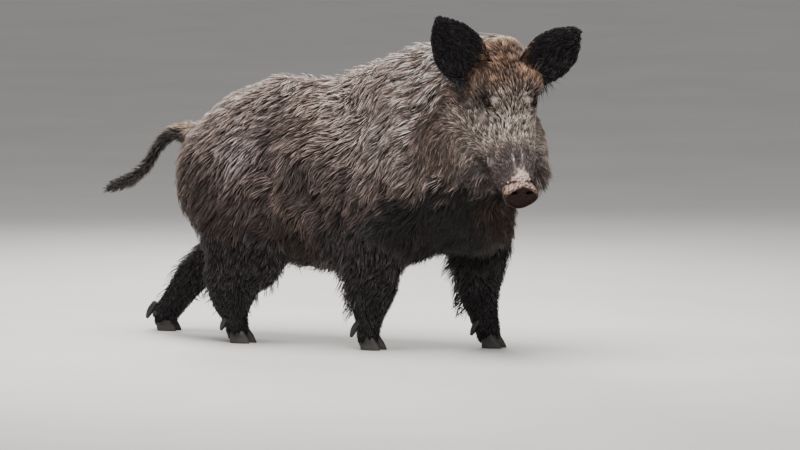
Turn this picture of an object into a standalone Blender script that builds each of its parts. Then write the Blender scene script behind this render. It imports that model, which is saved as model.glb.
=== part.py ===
"""Wild boar (Sus scrofa), an adult in its winter coat, walking with its head turned to its right.

A life-size still model, as a museum shows it. Every size is taken to the tips of the coat.
The boar faces -Y, its left is +X, and it stands on z = 0. Lengths are in metres.
"""

import math

import bmesh
import bpy
from mathutils import Matrix, Vector

# Driving dimensions
WITHERS_HEIGHT = 0.835
CROUP_HEIGHT = 0.745
HALF_TRACK = 0.105  # from the body's middle plane to a foot's centre
HEAD_LENGTH = 0.46  # from the crest of the skull to the top of the snout disc
HEAD_TURN = 46.5  # degrees that the head looks to the boar's right
NECK_TURN = 25.0  # degrees that the seam between head and neck looks to the right
HEAD_PITCH = 61.5  # degrees that the forehead line slopes down
CROWN = (0.567, -0.050, 0.878)  # forward, left and up of the crest of the skull
SNOUT_TILT = 24.0  # degrees that the disc's face is turned up from the forehead line
GAP = 0.0004  # clearance between solids that meet
SOLE = 0.0  # level of the ground
EYE_RADIUS = 0.0125

BODY_VOXEL = 0.009
BODY_TRIANGLES = 2380

COAT_GREY = (0.110, 0.088, 0.072, 1.0)
LEG_BLACK = (0.020, 0.018, 0.018, 1.0)
SNOUT_BROWN = (0.110, 0.066, 0.055, 1.0)
HOOF_HORN = (0.035, 0.028, 0.024, 1.0)
EYE_BROWN = (0.020, 0.010, 0.006, 1.0)
TUSK_IVORY = (0.600, 0.530, 0.400, 1.0)


def at(forward, left, up):
    """A point from its distance ahead of mid trunk, to the boar's left, and above the ground."""
    return Vector((left, -forward, up))


# --- Materials and object helpers -----------------------------------------------------------


def material(name, colour, roughness):
    """A plain Principled material."""
    made = bpy.data.materials.new(name)
    made.use_nodes = True
    shader = made.node_tree.nodes["Principled BSDF"]
    shader.inputs["Base Color"].default_value = colour
    shader.inputs["Roughness"].default_value = roughness
    return made


def clear_scene():
    """Removes what the startup scene holds."""
    for obj in list(bpy.data.objects):
        bpy.data.objects.remove(obj)


def collection(name):
    """A new collection in the scene."""
    made = bpy.data.collections.new(name)
    bpy.context.scene.collection.children.link(made)
    return made


def object_from(name, mesh, group):
    """An object that shows a mesh, in a collection."""
    obj = bpy.data.objects.new(name, mesh)
    group.objects.link(obj)
    return obj


def as_helper(obj):
    """Marks a guide or a cutter, which is no part of the boar."""
    obj.name = "guide_" + obj.name
    obj.hide_render = True
    obj.display_type = "WIRE"
    return obj


def baked(obj):
    """The object's mesh with its modifiers applied."""
    bpy.context.view_layer.update()
    graph = bpy.context.evaluated_depsgraph_get()
    mesh = bpy.data.meshes.new_from_object(obj.evaluated_get(graph))
    mesh.transform(obj.matrix_world)
    return mesh


def combined(name, base, other, operation, group):
    """A new object: base joined with, cut by or kept inside other."""
    obj = object_from(name, base.data.copy(), group)
    obj.matrix_world = base.matrix_world.copy()
    boolean = obj.modifiers.new("boolean", "BOOLEAN")
    boolean.operation = operation
    boolean.object = other
    mesh = baked(obj)
    bpy.data.objects.remove(obj)
    tidy(mesh)
    return as_helper(object_from(name, mesh, group))


def tidy(mesh):
    """Merges points that a Boolean left closer together than the solids' gap, and triangulates."""
    shape = bmesh.new()
    shape.from_mesh(mesh)
    bmesh.ops.remove_doubles(shape, verts=shape.verts, dist=0.00012)
    bmesh.ops.dissolve_degenerate(shape, edges=shape.edges, dist=0.0001)
    bmesh.ops.triangulate(shape, faces=shape.faces)
    shape.to_mesh(mesh)
    shape.free()


def largest_body(obj):
    """Keeps the biggest connected body of a mesh, without the crumbs that a cut leaves."""
    shape = bmesh.new()
    shape.from_mesh(obj.data)
    unseen = set(shape.verts)
    bodies = []
    while unseen:
        front = [unseen.pop()]
        body = set(front)
        while front:
            for edge in front.pop().link_edges:
                for vert in edge.verts:
                    if vert in unseen:
                        unseen.discard(vert)
                        body.add(vert)
                        front.append(vert)
        bodies.append(body)
    keep = max(bodies, key=len)
    bmesh.ops.delete(shape, geom=[v for v in shape.verts if v not in keep], context="VERTS")
    shape.to_mesh(obj.data)
    shape.free()
    return obj


# --- Lofts: a smooth tube of flesh through a few sections --------------------------------------


def spline(values, share):
    """Catmull-Rom through a list of vectors or numbers, at a share from 0 to 1 of the list."""
    last = len(values) - 1
    place = min(share * last, last - 1e-9)
    i = int(place)
    t = place - i
    p0, p1 = values[max(i - 1, 0)], values[i]
    p2, p3 = values[i + 1], values[min(i + 2, last)]
    return 0.5 * (
        2 * p1 + (p2 - p0) * t + (2 * p0 - 5 * p1 + 4 * p2 - p3) * t**2 + (3 * p1 - p0 - 3 * p2 + p3) * t**3
    )


class Section:
    """One cross-section of a loft: its centre, its reach to each side, up and down, and its side axis."""

    def __init__(self, centre, half_width, rise, drop, side=(1, 0, 0), ridge=2.0, keel=2.0):
        self.centre = Vector(centre)
        self.sizes = Vector((half_width, rise, drop))
        self.side = Vector(side).normalized()
        self.powers = Vector((ridge, keel, 0))


def section_point(half_width, extent, power, angle):
    """A point of a superellipse, sideways and up, at an angle from the top."""
    sideways = math.copysign(abs(math.sin(angle)) ** (2 / power), math.sin(angle))
    upwards = abs(math.cos(angle)) ** (2 / power)
    return half_width * sideways, extent * upwards


def loft(name, sections, group, steps=6, sides=28, upright=None):
    """A closed tube through the sections. The sections stand square to the tube's own line."""
    shape = bmesh.new()
    count = steps * (len(sections) - 1)
    rings = []
    for i in range(count + 1):
        share = i / count
        centre = spline([s.centre for s in sections], share)
        ahead = spline([s.centre for s in sections], min(share + 0.01, 1.0))
        behind = spline([s.centre for s in sections], max(share - 0.01, 0.0))
        tangent = upright or (ahead - behind).normalized()
        side = spline([s.side for s in sections], share)
        side = (side - tangent * side.dot(tangent)).normalized()
        up = tangent.cross(side)
        half_width, rise, drop = spline([s.sizes for s in sections], share)
        ridge, keel, _ = spline([s.powers for s in sections], share)
        ring = []
        for k in range(sides):
            angle = 2 * math.pi * k / sides
            above = math.cos(angle) >= 0
            sideways, upwards = section_point(half_width, rise if above else -drop, ridge if above else keel, angle)
            ring.append(shape.verts.new(centre + side * sideways + up * upwards))
        rings.append(ring)
    for first, second in zip(rings, rings[1:]):
        for k in range(sides):
            shape.faces.new((first[k], second[k], second[k - 1], first[k - 1]))
    shape.faces.new(rings[0])
    shape.faces.new(rings[-1])
    bmesh.ops.recalc_face_normals(shape, faces=shape.faces)
    mesh = bpy.data.meshes.new(name)
    shape.to_mesh(mesh)
    shape.free()
    return as_helper(object_from(name, mesh, group))


# --- The flesh masses ---------------------------------------------------------------------------


def trunk_mass(group):
    """Rump to brisket. Each row: forward, top, bottom, half width, height of the widest level."""
    rows = [
        (-0.455, 0.530, 0.400, 0.060, 0.470),
        (-0.430, 0.590, 0.320, 0.120, 0.480),
        (-0.370, 0.645, 0.280, 0.165, 0.480),
        (-0.280, 0.705, 0.262, 0.190, 0.470),
        (-0.180, CROUP_HEIGHT, 0.245, 0.194, 0.460),
        (-0.060, 0.755, 0.212, 0.201, 0.445),
        (0.060, 0.778, 0.196, 0.206, 0.440),
        (0.170, 0.815, 0.205, 0.204, 0.455),
        (0.270, WITHERS_HEIGHT, 0.235, 0.196, 0.480),
        (0.360, 0.830, 0.270, 0.182, 0.500),
        (0.440, 0.780, 0.270, 0.162, 0.500),
        (0.510, 0.680, 0.270, 0.125, 0.460),
        (0.560, 0.560, 0.300, 0.075, 0.420),
    ]
    sections = []
    for forward, top, bottom, half_width, level in rows:
        centre = at(forward, 0, level)
        sections.append(Section(centre, half_width, top - level, level - bottom, ridge=1.75, keel=2.15))
    return loft("trunk_mass", sections, group, upright=at(1, 0, 0))


def head_axes():
    """The head's own axes: along the forehead to the snout, to its left, and out of the forehead."""
    turn, pitch = math.radians(HEAD_TURN), math.radians(HEAD_PITCH)
    level = at(math.cos(turn), -math.sin(turn), 0)
    along = level * math.cos(pitch) + Vector((0, 0, -math.sin(pitch)))
    left = Vector((0, 0, 1)).cross(level)
    out = along.cross(left)
    return along, left, out


def head_point(along, left, out):
    """A point in the head's own axes, from the crest of the skull."""
    axes = head_axes()
    return at(*CROWN) + axes[0] * along + axes[1] * left + axes[2] * out


def head_matrix(along, left, out, tilt=0.0):
    """A frame in the head's axes: x to its left, y along the forehead, z out of it, tilted about x."""
    axes = head_axes()
    turned = Matrix((axes[1], axes[0], axes[2])).transposed().to_4x4()
    return Matrix.Translation(head_point(along, left, out)) @ turned @ Matrix.Rotation(tilt, 4, "X")


def neck_mass(group):
    """Withers to skull, bending to the right. Rows: forward, left, up, half width, rise, drop, turn."""
    rows = [
        (0.180, 0.000, 0.560, 0.165, 0.235, 0.240, 0),
        (0.320, 0.000, 0.590, 0.187, 0.262, 0.265, 4),
        (0.420, -0.008, 0.612, 0.178, 0.255, 0.250, 12),
        (0.490, -0.022, 0.628, 0.160, 0.242, 0.230, 24),
        (0.545, -0.045, 0.645, 0.134, 0.218, 0.195, 36),
        (0.592, -0.073, 0.650, 0.098, 0.150, 0.150, HEAD_TURN),
    ]
    sections = []
    for forward, left, up, half_width, rise, drop, turn in rows:
        side = (math.cos(math.radians(turn)), -math.sin(math.radians(turn)), 0)
        sections.append(Section(at(forward, left, up), half_width, rise, drop, side=side, ridge=1.8))
    return loft("neck_mass", sections, group)


def head_mass(group):
    """Skull and jaws. Rows: place along the forehead, top, bottom and half width of the section."""
    along, left, out = head_axes()
    rows = [
        (-0.050, -0.050, -0.190, 0.055, 2.0),
        (-0.015, -0.014, -0.225, 0.082, 2.0),
        (0.030, 0.006, -0.255, 0.097, 2.1),
        (0.090, 0.017, -0.275, 0.104, 2.2),
        (0.150, 0.020, -0.285, 0.106, 2.3),
        (0.210, 0.004, -0.275, 0.098, 2.3),
        (0.270, -0.008, -0.245, 0.084, 2.3),
        (0.330, -0.012, -0.208, 0.070, 2.3),
        (0.390, -0.010, -0.166, 0.056, 2.3),
        (0.432, -0.006, -0.126, 0.045, 2.2),
    ]
    sections = []
    for place, top, bottom, half_width, power in rows:
        level = bottom + (top - bottom) * 0.52
        centre = head_point(place, 0, level)
        sections.append(Section(centre, half_width, top - level, level - bottom, side=left, ridge=power, keel=2.1))
    return loft("head_mass", sections, group, upright=along)


def ellipsoid(name, matrix, radii, group, segments=20):
    """An ellipsoid with half axes along a frame's own axes."""
    shape = bmesh.new()
    placed = matrix @ Matrix.Diagonal((*radii, 1))
    bmesh.ops.create_uvsphere(shape, u_segments=segments, v_segments=segments // 2, radius=1, matrix=placed)
    bmesh.ops.recalc_face_normals(shape, faces=shape.faces)
    mesh = bpy.data.meshes.new(name)
    shape.to_mesh(mesh)
    shape.free()
    return as_helper(object_from(name, mesh, group))


def face_masses(group):
    """The ruff of the jowls and the tufted brows, one of each on both sides of the head."""
    masses = []
    for side in (LEFT, RIGHT):
        masses.append(ellipsoid("ruff_mass", head_matrix(0.265, side * 0.074, -0.185), (0.066, 0.150, 0.090), group))
        masses.append(ellipsoid("brow_mass", head_matrix(0.135, side * 0.066, -0.006), (0.048, 0.050, 0.026), group))
    return masses


def leg_mass(name, rows, side, group):
    """A leg from shoulder or hip to foot. Rows: forward, up, distance from the middle, half depth, half width."""
    sections = []
    for forward, up, out, half_depth, half_width in rows:
        sections.append(Section(at(forward, side * out, up), half_width, half_depth, half_depth))
    return loft(name, sections, group, steps=5, sides=20)


LEFT, RIGHT = 1, -1
# The right foreleg and the left hind leg push off behind; the other two reach forward.
LEGS = {
    "foreleg_right": (
        RIGHT,
        [
            (0.330, 0.560, 0.100, 0.125, 0.080),
            (0.280, 0.430, 0.118, 0.125, 0.078),
            (0.220, 0.320, 0.124, 0.118, 0.070),
            (0.196, 0.235, 0.118, 0.104, 0.056),
            (0.191, 0.165, 0.112, 0.082, 0.045),
            (0.184, 0.115, 0.108, 0.060, 0.039),
            (0.179, 0.080, HALF_TRACK, 0.045, 0.036),
            (0.178, 0.045, HALF_TRACK, 0.037, 0.036),
            (0.184, 0.012, HALF_TRACK, 0.036, 0.036),
        ],
    ),
    "foreleg_left": (
        LEFT,
        [
            (0.360, 0.560, 0.100, 0.125, 0.080),
            (0.390, 0.430, 0.118, 0.125, 0.078),
            (0.400, 0.325, 0.124, 0.115, 0.070),
            (0.410, 0.240, 0.118, 0.098, 0.056),
            (0.414, 0.160, 0.112, 0.070, 0.044),
            (0.428, 0.100, HALF_TRACK, 0.050, 0.037),
            (0.440, 0.060, HALF_TRACK, 0.042, 0.036),
            (0.452, 0.012, HALF_TRACK, 0.038, 0.036),
        ],
    ),
    "hind_leg_right": (
        RIGHT,
        [
            (-0.290, 0.540, 0.080, 0.110, 0.075),
            (-0.250, 0.440, 0.110, 0.155, 0.082),
            (-0.210, 0.340, 0.124, 0.155, 0.075),
            (-0.214, 0.250, 0.120, 0.142, 0.062),
            (-0.246, 0.175, 0.112, 0.096, 0.050),
            (-0.252, 0.115, 0.108, 0.070, 0.042),
            (-0.246, 0.070, HALF_TRACK, 0.042, 0.036),
            (-0.236, 0.035, HALF_TRACK, 0.037, 0.036),
            (-0.230, 0.012, HALF_TRACK, 0.037, 0.036),
        ],
    ),
    "hind_leg_left": (
        LEFT,
        [
            (-0.290, 0.540, 0.080, 0.110, 0.075),
            (-0.285, 0.445, 0.110, 0.135, 0.082),
            (-0.300, 0.345, 0.124, 0.112, 0.074),
            (-0.385, 0.248, 0.120, 0.072, 0.058),
            (-0.483, 0.180, 0.112, 0.060, 0.046),
            (-0.533, 0.118, 0.108, 0.048, 0.039),
            (-0.569, 0.070, HALF_TRACK, 0.042, 0.036),
            (-0.588, 0.035, HALF_TRACK, 0.037, 0.036),
            (-0.585, 0.012, HALF_TRACK, 0.037, 0.036),
        ],
    ),
}


def tail_mass(group):
    """The tail, carried out behind and bent down, with its tassel. Rows: forward, left, up, radius."""
    rows = [
        (-0.380, 0.000, 0.540, 0.040),
        (-0.455, 0.000, 0.572, 0.031),
        (-0.510, 0.000, 0.568, 0.021),
        (-0.555, 0.000, 0.525, 0.018),
        (-0.590, 0.000, 0.475, 0.018),
        (-0.640, 0.000, 0.436, 0.020),
        (-0.692, 0.000, 0.414, 0.017),
        (-0.724, 0.000, 0.403, 0.007),
    ]
    sections = []
    for forward, left, up, radius in rows:
        sections.append(Section(at(forward, left, up), radius, radius, radius))
    return loft("tail_mass", sections, group, steps=2, sides=10)


def crescent(half_width, cup, thickness, count):
    """The outline of a cupped leaf's section: along its back from edge to edge, then home along its front."""
    back, front = [], []
    for i in range(count + 1):
        across = 2 * i / count - 1
        bow = 1 - across**2
        front.append((across * half_width, -cup * bow))
        back.append((across * half_width, -cup * bow - thickness * (0.22 + 0.78 * math.sqrt(max(bow, 0)))))
    return back + front[::-1]


def ear_mass(name, base, tip, facing, rows, group):
    """A cupped ear from its base to its tip, opening toward 'facing'. Rows: share, shift, half width, cup, thickness."""
    axis = tip - base
    across = axis.cross(facing).normalized()
    depth = across.cross(axis).normalized()
    shape = bmesh.new()
    rings = []
    for i in range(2 * (len(rows) - 1) + 1):
        share = i / (2 * (len(rows) - 1))
        place, shift, half_width, cup, thickness = spline([Vector(row) for row in rows], share)
        centre = base + axis * place + across * shift
        ring = [shape.verts.new(centre + across * x + depth * y) for x, y in crescent(half_width, cup, thickness, 6)]
        rings.append(ring)
    for first, second in zip(rings, rings[1:]):
        for k in range(len(first)):
            shape.faces.new((first[k], second[k], second[k - 1], first[k - 1]))
    shape.faces.new(rings[0])
    shape.faces.new(rings[-1])
    bmesh.ops.recalc_face_normals(shape, faces=shape.faces)
    mesh = bpy.data.meshes.new(name)
    shape.to_mesh(mesh)
    shape.free()
    return as_helper(object_from(name, mesh, group))


EARS = {
    "ear_right": ((0.088, -0.102, -0.010), (-0.098, 0.030, 0.138)),
    "ear_left": ((0.086, 0.100, -0.012), (0.100, 0.030, 0.100)),
}


def ear(name, group):
    """One ear, standing out from the side of the crown, its hollow toward the front."""
    base_row, lean = EARS[name]
    heading = head_axes()[0].copy()
    heading.z = 0
    heading.normalize()
    left = head_axes()[1]
    base = head_point(*base_row)
    reach = left * lean[0] + heading * lean[1] + Vector((0, 0, lean[2]))
    outward = 1 if lean[0] > 0 else -1
    facing = (heading + left * outward * 0.25).normalized()
    rows = [
        (-0.30, 0.0, 0.040, 0.020, 0.022),
        (0.00, 0.0, 0.064, 0.036, 0.020),
        (0.35, 0.0, 0.072, 0.038, 0.016),
        (0.70, 0.0, 0.054, 0.024, 0.013),
        (0.92, 0.0, 0.028, 0.010, 0.010),
        (1.05, 0.0, 0.008, 0.002, 0.007),
    ]
    return ear_mass(name, base, base + reach, facing, rows, group)


def flesh(name, voxel, triangles, group, guides):
    """All the masses as one skin: a voxel remesh welds them, a smooth rounds the joins, a decimate thins it."""
    shape = bmesh.new()
    for mass in guides:
        shape.from_mesh(mass.data)
    mesh = bpy.data.meshes.new(name)
    shape.to_mesh(mesh)
    shape.free()
    obj = object_from(name, mesh, group)
    remesh = obj.modifiers.new("weld", "REMESH")
    remesh.mode = "VOXEL"
    remesh.voxel_size = voxel
    smooth = obj.modifiers.new("round", "SMOOTH")
    smooth.factor = 0.5
    smooth.iterations = round(0.0009 / voxel**2)
    skin = baked(obj)
    bpy.data.objects.remove(obj)
    obj = object_from(name, skin, group)
    thin = obj.modifiers.new("thin", "DECIMATE")
    thin.ratio = triangles / (2 * len(skin.polygons))
    thin.use_collapse_triangulate = True
    mesh = baked(obj)
    bpy.data.objects.remove(obj)
    return as_helper(object_from(name, mesh, group))


# --- Snout, eyes, tusks and hooves ----------------------------------------------------------------


def snout_disc(group):
    """The gristly disc at the muzzle's end, its face turned up from the line of the forehead."""
    face = head_matrix(0.447, 0.003, -0.049, math.radians(SNOUT_TILT))
    side = face.col[0].to_3d()
    sections = []
    for place, swell in ((-0.030, 0.80), (-0.008, 0.90), (0.004, 1.0), (0.012, 0.98), (0.016, 0.86)):
        centre = face @ Vector((0, place, 0))
        sections.append(Section(centre, 0.051 * swell, 0.041 * swell, 0.044 * swell, side=side, ridge=2.3, keel=1.7))
    disc = loft("snout_disc", sections, group, steps=1, sides=20)
    for flank in (LEFT, RIGHT):
        hole = face @ Matrix.Translation((flank * 0.0175, 0.017, 0.001)) @ Matrix.Rotation(flank * 0.25, 4, "Y")
        nostril = ellipsoid("nostril", hole, (0.0115, 0.016, 0.0065), group, segments=12)
        disc = combined("snout_disc", disc, nostril, "DIFFERENCE", group)
    return disc


def eyeball(name, side, head, group):
    """One eye, seated under the brow with a third of its globe showing."""
    inward = -head_axes()[2]
    _, spot, normal, _ = head.ray_cast(head_point(0.190, side * 0.066, 0.2), inward)
    centre = Matrix.Translation(spot - normal * EYE_RADIUS * 0.35)
    return ellipsoid(name, centre, (EYE_RADIUS, EYE_RADIUS, EYE_RADIUS), group, segments=12)


def tusk(name, side, group):
    """One of the short lower tusks, curving up and out of the lip. Rows: along, out from the middle, up, radius."""
    rows = [
        (0.336, 0.044, -0.112, 0.0060),
        (0.342, 0.055, -0.098, 0.0056),
        (0.340, 0.064, -0.084, 0.0046),
        (0.332, 0.068, -0.068, 0.0024),
    ]
    sections = []
    for along, outward, up, radius in rows:
        sections.append(Section(head_point(along, side * outward, up), radius, radius, radius))
    return loft(name, sections, group, steps=2, sides=8)


# Where each foot stands and how far its toes turn from straight ahead, in degrees.
FEET = {
    "foreleg_right": (0.190, RIGHT, -4),
    "foreleg_left": (0.458, LEFT, 4),
    "hind_leg_right": (-0.224, RIGHT, -4),
    "hind_leg_left": (-0.581, LEFT, 4),
}


def foot_frame(foot):
    """A frame on the ground at a foot's centre, its -Y toward the toes."""
    forward, side, turn = foot
    return Matrix.Translation(at(forward, side * HALF_TRACK, 0)) @ Matrix.Rotation(math.radians(turn), 4, "Z")


def horn_mass(name, frame, rows, group):
    """A block of horn that stands on its sole. Rows: across, back, up, half width, reach behind, reach ahead."""
    sections = []
    for across, back, up, half_width, rear, front in rows:
        centre = frame @ Vector((across, back, up))
        sections.append(Section(centre, half_width, rear, front, ridge=2.4, keel=1.7))
    return loft(name, sections, group, steps=1, sides=10, upright=Vector((0, 0, 1)))


def hoof_masses(foot, group):
    """The three convex blocks of a cloven hoof: two pointed claws with flat soles, and the coronet that joins them."""
    frame = foot_frame(foot)
    coronet = [
        (0, 0.004, 0.030, 0.0265, 0.022, 0.019),
        (0, 0.013, 0.042, 0.0285, 0.022, 0.017),
        (0, 0.017, 0.056, 0.0260, 0.018, 0.014),
    ]
    blocks = [horn_mass("coronet", frame, coronet, group)]
    for side in (LEFT, RIGHT):
        across = side * 0.0180
        claw = [
            (across, 0.000, SOLE, 0.0150, 0.024, 0.037),
            (across, 0.001, 0.012, 0.0160, 0.025, 0.034),
            (across * 0.95, 0.005, 0.028, 0.0152, 0.023, 0.028),
            (across * 0.80, 0.010, 0.044, 0.0120, 0.018, 0.020),
        ]
        blocks.append(horn_mass("claw", frame, claw, group))
    return blocks


def dewclaw(name, foot, side, group):
    """One of the two small claws that hang behind the foot, clear of the ground."""
    frame = foot_frame(foot)
    sections = []
    for back, up, radius in ((0.026, 0.080, 0.009), (0.040, 0.064, 0.011), (0.050, 0.046, 0.009), (0.055, 0.034, 0.004)):
        sections.append(Section(frame @ Vector((side * 0.022, back, up)), radius, radius, radius))
    return loft(name, sections, group, steps=1, sides=7)


# --- Cells that part the body -----------------------------------------------------------------------


def cell(name, corners, group):
    """A convex cutter through its corner points."""
    shape = bmesh.new()
    for corner in corners:
        shape.verts.new(corner)
    bmesh.ops.convex_hull(shape, input=shape.verts)
    bmesh.ops.recalc_face_normals(shape, faces=shape.faces)
    mesh = bpy.data.meshes.new(name)
    shape.to_mesh(mesh)
    shape.free()
    return as_helper(object_from(name, mesh, group))


def box_corners(near, far):
    """The eight corners of an upright box."""
    return [Vector((x, y, z)) for x in (near[0], far[0]) for y in (near[1], far[1]) for z in (near[2], far[2])]


def front_cell(group):
    """Everything ahead of the slope from the withers down past the point of the shoulder."""
    corners = []
    for across in (-0.6, 0.6):
        corners += [at(0.13, across, 1.05), at(0.66, across, 0.02), at(1.6, across, 1.05), at(1.6, across, 0.02)]
    return cell("front_cell", corners, group)


def head_cell(group):
    """Everything ahead of the line from the back of the skull to the angle of the jaw, and above the throat."""
    heading = Matrix.Rotation(math.radians(180 - NECK_TURN), 4, "Z")
    frame = Matrix.Translation(at(*CROWN)) @ heading @ Matrix.Rotation(math.radians(-18), 4, "X")
    corners = [frame @ corner for corner in box_corners((-0.4, -0.030, -0.378), (0.4, 0.8, 0.3))]
    return cell("head_cell", corners, group)


def jaw_cell(group):
    """Everything under the line of the mouth, back to its corner."""
    corners = []
    for across in (-0.2, 0.2):
        corners += [head_point(0.300, across, -0.104), head_point(0.60, across, -0.088)]
        corners += [head_point(0.245, across, -0.40), head_point(0.60, across, -0.40)]
    return cell("jaw_cell", corners, group)


def leg_cell(name, side, rear, front, group):
    """Round one leg, under a plane that rises from the belly to the flank. Rear and front: forward at top, at foot."""
    corners = []
    for top, foot in (rear, front):
        corners += [at(top, side * -0.02, 0.185), at(top, side * 0.40, 0.44)]
        corners += [at(foot, side * -0.02, -0.1), at(foot, side * 0.40, -0.1)]
    return cell(name, corners, group)


LEG_CELLS = {
    "foreleg_right": ((0.085, 0.040), (0.345, 0.345)),
    "foreleg_left": ((0.275, 0.275), (0.53, 0.64)),
    "hind_leg_right": ((-0.50, -0.50), (-0.055, -0.100)),
    "hind_leg_left": ((-0.52, -0.80), (-0.13, -0.30)),
}


def grown(obj, group):
    """A copy with every face moved out by the gap, to cut a clearance with."""
    shape = bmesh.new()
    shape.from_mesh(obj.data)
    shape.normal_update()
    moves = [vert.normal * GAP * min(vert.calc_shell_factor(), 2.5) for vert in shape.verts]
    for vert, move in zip(shape.verts, moves):
        vert.co += move
    mesh = bpy.data.meshes.new(obj.name)
    shape.to_mesh(mesh)
    shape.free()
    return as_helper(object_from(obj.name, mesh, group))


def kept(name, base, cutter, group):
    """The one body of a solid that lies inside a cutter."""
    return largest_body(combined(name, base, cutter, "INTERSECT", group))


def cut(name, base, cutter, group):
    """A solid with the cutter and the clearance round it taken away."""
    return largest_body(combined(name, base, grown(cutter, group), "DIFFERENCE", group))


def joined(name, blocks, group):
    """Overlapping blocks as one solid."""
    whole = blocks[0]
    for block in blocks[1:]:
        whole = combined(name, whole, block, "UNION", group)
    return whole


def publish(name, solid, look, boar):
    """A finished sub-part under its own name, with its material and smooth shading."""
    mesh = solid.data.copy()
    mesh.name = name
    mesh.materials.clear()
    mesh.materials.append(look)
    mesh.shade_smooth()
    mesh.set_sharp_from_angle(angle=math.radians(40))
    return object_from(name, mesh, boar)


def centre_over_origin(boar):
    """Moves the whole boar level, so that the middle of its box stands over the origin."""
    corners = [vert.co for obj in boar.objects for vert in obj.data.vertices]
    shift = Vector((0, 0, 0))
    for axis in (0, 1):
        values = [corner[axis] for corner in corners]
        shift[axis] = -(min(values) + max(values)) / 2
    for obj in boar.objects:
        obj.data.transform(Matrix.Translation(shift))


def main():
    clear_scene()
    boar = collection("wild_boar")
    helpers = collection("helpers")
    coat = material("coat", COAT_GREY, 0.9)
    black = material("leg_coat", LEG_BLACK, 0.85)
    gristle = material("snout_skin", SNOUT_BROWN, 0.45)
    horn = material("hoof_horn", HOOF_HORN, 0.5)
    iris = material("eye", EYE_BROWN, 0.08)
    ivory = material("tusk_ivory", TUSK_IVORY, 0.35)

    masses = [trunk_mass(helpers), neck_mass(helpers), head_mass(helpers)] + face_masses(helpers)
    masses += [leg_mass(name, rows, side, helpers) for name, (side, rows) in LEGS.items()]
    body = flesh("body", BODY_VOXEL, BODY_TRIANGLES, helpers, masses)

    for name in EARS:
        publish(name, cut(name, ear(name, helpers), body, helpers), black, boar)
    publish("tail", cut("tail", tail_mass(helpers), body, helpers), black, boar)

    front = kept("front", body, front_cell(helpers), helpers)
    rear = cut("rear", body, front_cell(helpers), helpers)
    neck = cut("neck", front, head_cell(helpers), helpers)
    head = kept("head", front, head_cell(helpers), helpers)
    fittings = {"snout": (snout_disc(helpers), gristle)}
    for side, word in ((RIGHT, "right"), (LEFT, "left")):
        fittings["eye_" + word] = (eyeball("eye_" + word, side, head, helpers), iris)
        fittings["tusk_" + word] = (tusk("tusk_" + word, side, helpers), ivory)
    for name, (solid, look) in fittings.items():
        head = cut("head", head, solid, helpers)
        publish(name, solid, look, boar)
    jaw = kept("lower_jaw", head, jaw_cell(helpers), helpers)
    head = cut("head", head, jaw_cell(helpers), helpers)
    publish("neck", neck, coat, boar)
    publish("head", head, coat, boar)
    publish("lower_jaw", jaw, coat, boar)

    for name, (top, foot) in LEG_CELLS.items():
        side = LEGS[name][0]
        room = leg_cell(name, side, *LEG_CELLS[name], helpers)
        leg = kept(name, rear, room, helpers)
        rear = cut("trunk", rear, room, helpers)
        horns = {
            "hoof": hoof_masses(FEET[name], helpers),
            "inner_dewclaw": [dewclaw("dewclaw", FEET[name], -side, helpers)],
            "outer_dewclaw": [dewclaw("dewclaw", FEET[name], side, helpers)],
        }
        for word, blocks in horns.items():
            publish(f"{name}_{word}", joined(word, blocks, helpers), horn, boar)
            clearance = joined(word, [grown(block, helpers) for block in blocks], helpers)
            leg = largest_body(combined(name, leg, clearance, "DIFFERENCE", helpers))
        publish(name, leg, black, boar)
    publish("trunk", rear, coat, boar)
    centre_over_origin(boar)


main()
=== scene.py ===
# %% [markdown]
# # A wild boar in its winter coat
# A taxidermist starts from a carved form, stretches one hide over it and combs the coat into place. This
# lesson works in that order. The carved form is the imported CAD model, which loads as a fixed frame: it is
# never moved, and every piece made here takes its place from it.

# %% Load the carved form
import math

import bmesh
import bpy
import numpy as np
from mathutils import Matrix, Vector
from mathutils.bvhtree import BVHTree
from mathutils.kdtree import KDTree


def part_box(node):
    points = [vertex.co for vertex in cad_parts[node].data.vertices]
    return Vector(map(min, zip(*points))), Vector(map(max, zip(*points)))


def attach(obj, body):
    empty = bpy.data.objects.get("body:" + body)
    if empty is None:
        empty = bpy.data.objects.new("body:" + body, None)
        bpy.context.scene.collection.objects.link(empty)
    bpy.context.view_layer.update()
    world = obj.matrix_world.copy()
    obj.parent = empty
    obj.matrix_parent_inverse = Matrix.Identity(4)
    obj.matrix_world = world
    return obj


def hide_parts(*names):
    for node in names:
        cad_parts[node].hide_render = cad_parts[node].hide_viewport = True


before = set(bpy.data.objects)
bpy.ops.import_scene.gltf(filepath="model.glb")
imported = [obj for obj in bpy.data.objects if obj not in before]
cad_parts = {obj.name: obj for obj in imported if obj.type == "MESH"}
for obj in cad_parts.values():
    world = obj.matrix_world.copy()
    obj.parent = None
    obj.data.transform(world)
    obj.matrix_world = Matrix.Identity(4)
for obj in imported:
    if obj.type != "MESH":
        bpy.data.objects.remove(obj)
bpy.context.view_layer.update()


# %% A new object
def in_scene(name, data):
    """A new object of that name, in the scene."""
    made = bpy.data.objects.new(name, data)
    bpy.context.scene.collection.objects.link(made)
    return made


# %% [markdown]
# ## Finding our way round the animal
# The boar faces -Y, its back is up and its left side is +X. The head is turned and lowered, so it has axes
# of its own: to its left, along the face toward the snout, and out of the forehead. The eyes give the first
# one, and a level line square to them, tipped down by the pitch of the head, gives the second.


# %% Landmarks
def middle(node):
    """The centre of a CAD node's box."""
    low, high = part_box(node)
    return (low + high) / 2


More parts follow.
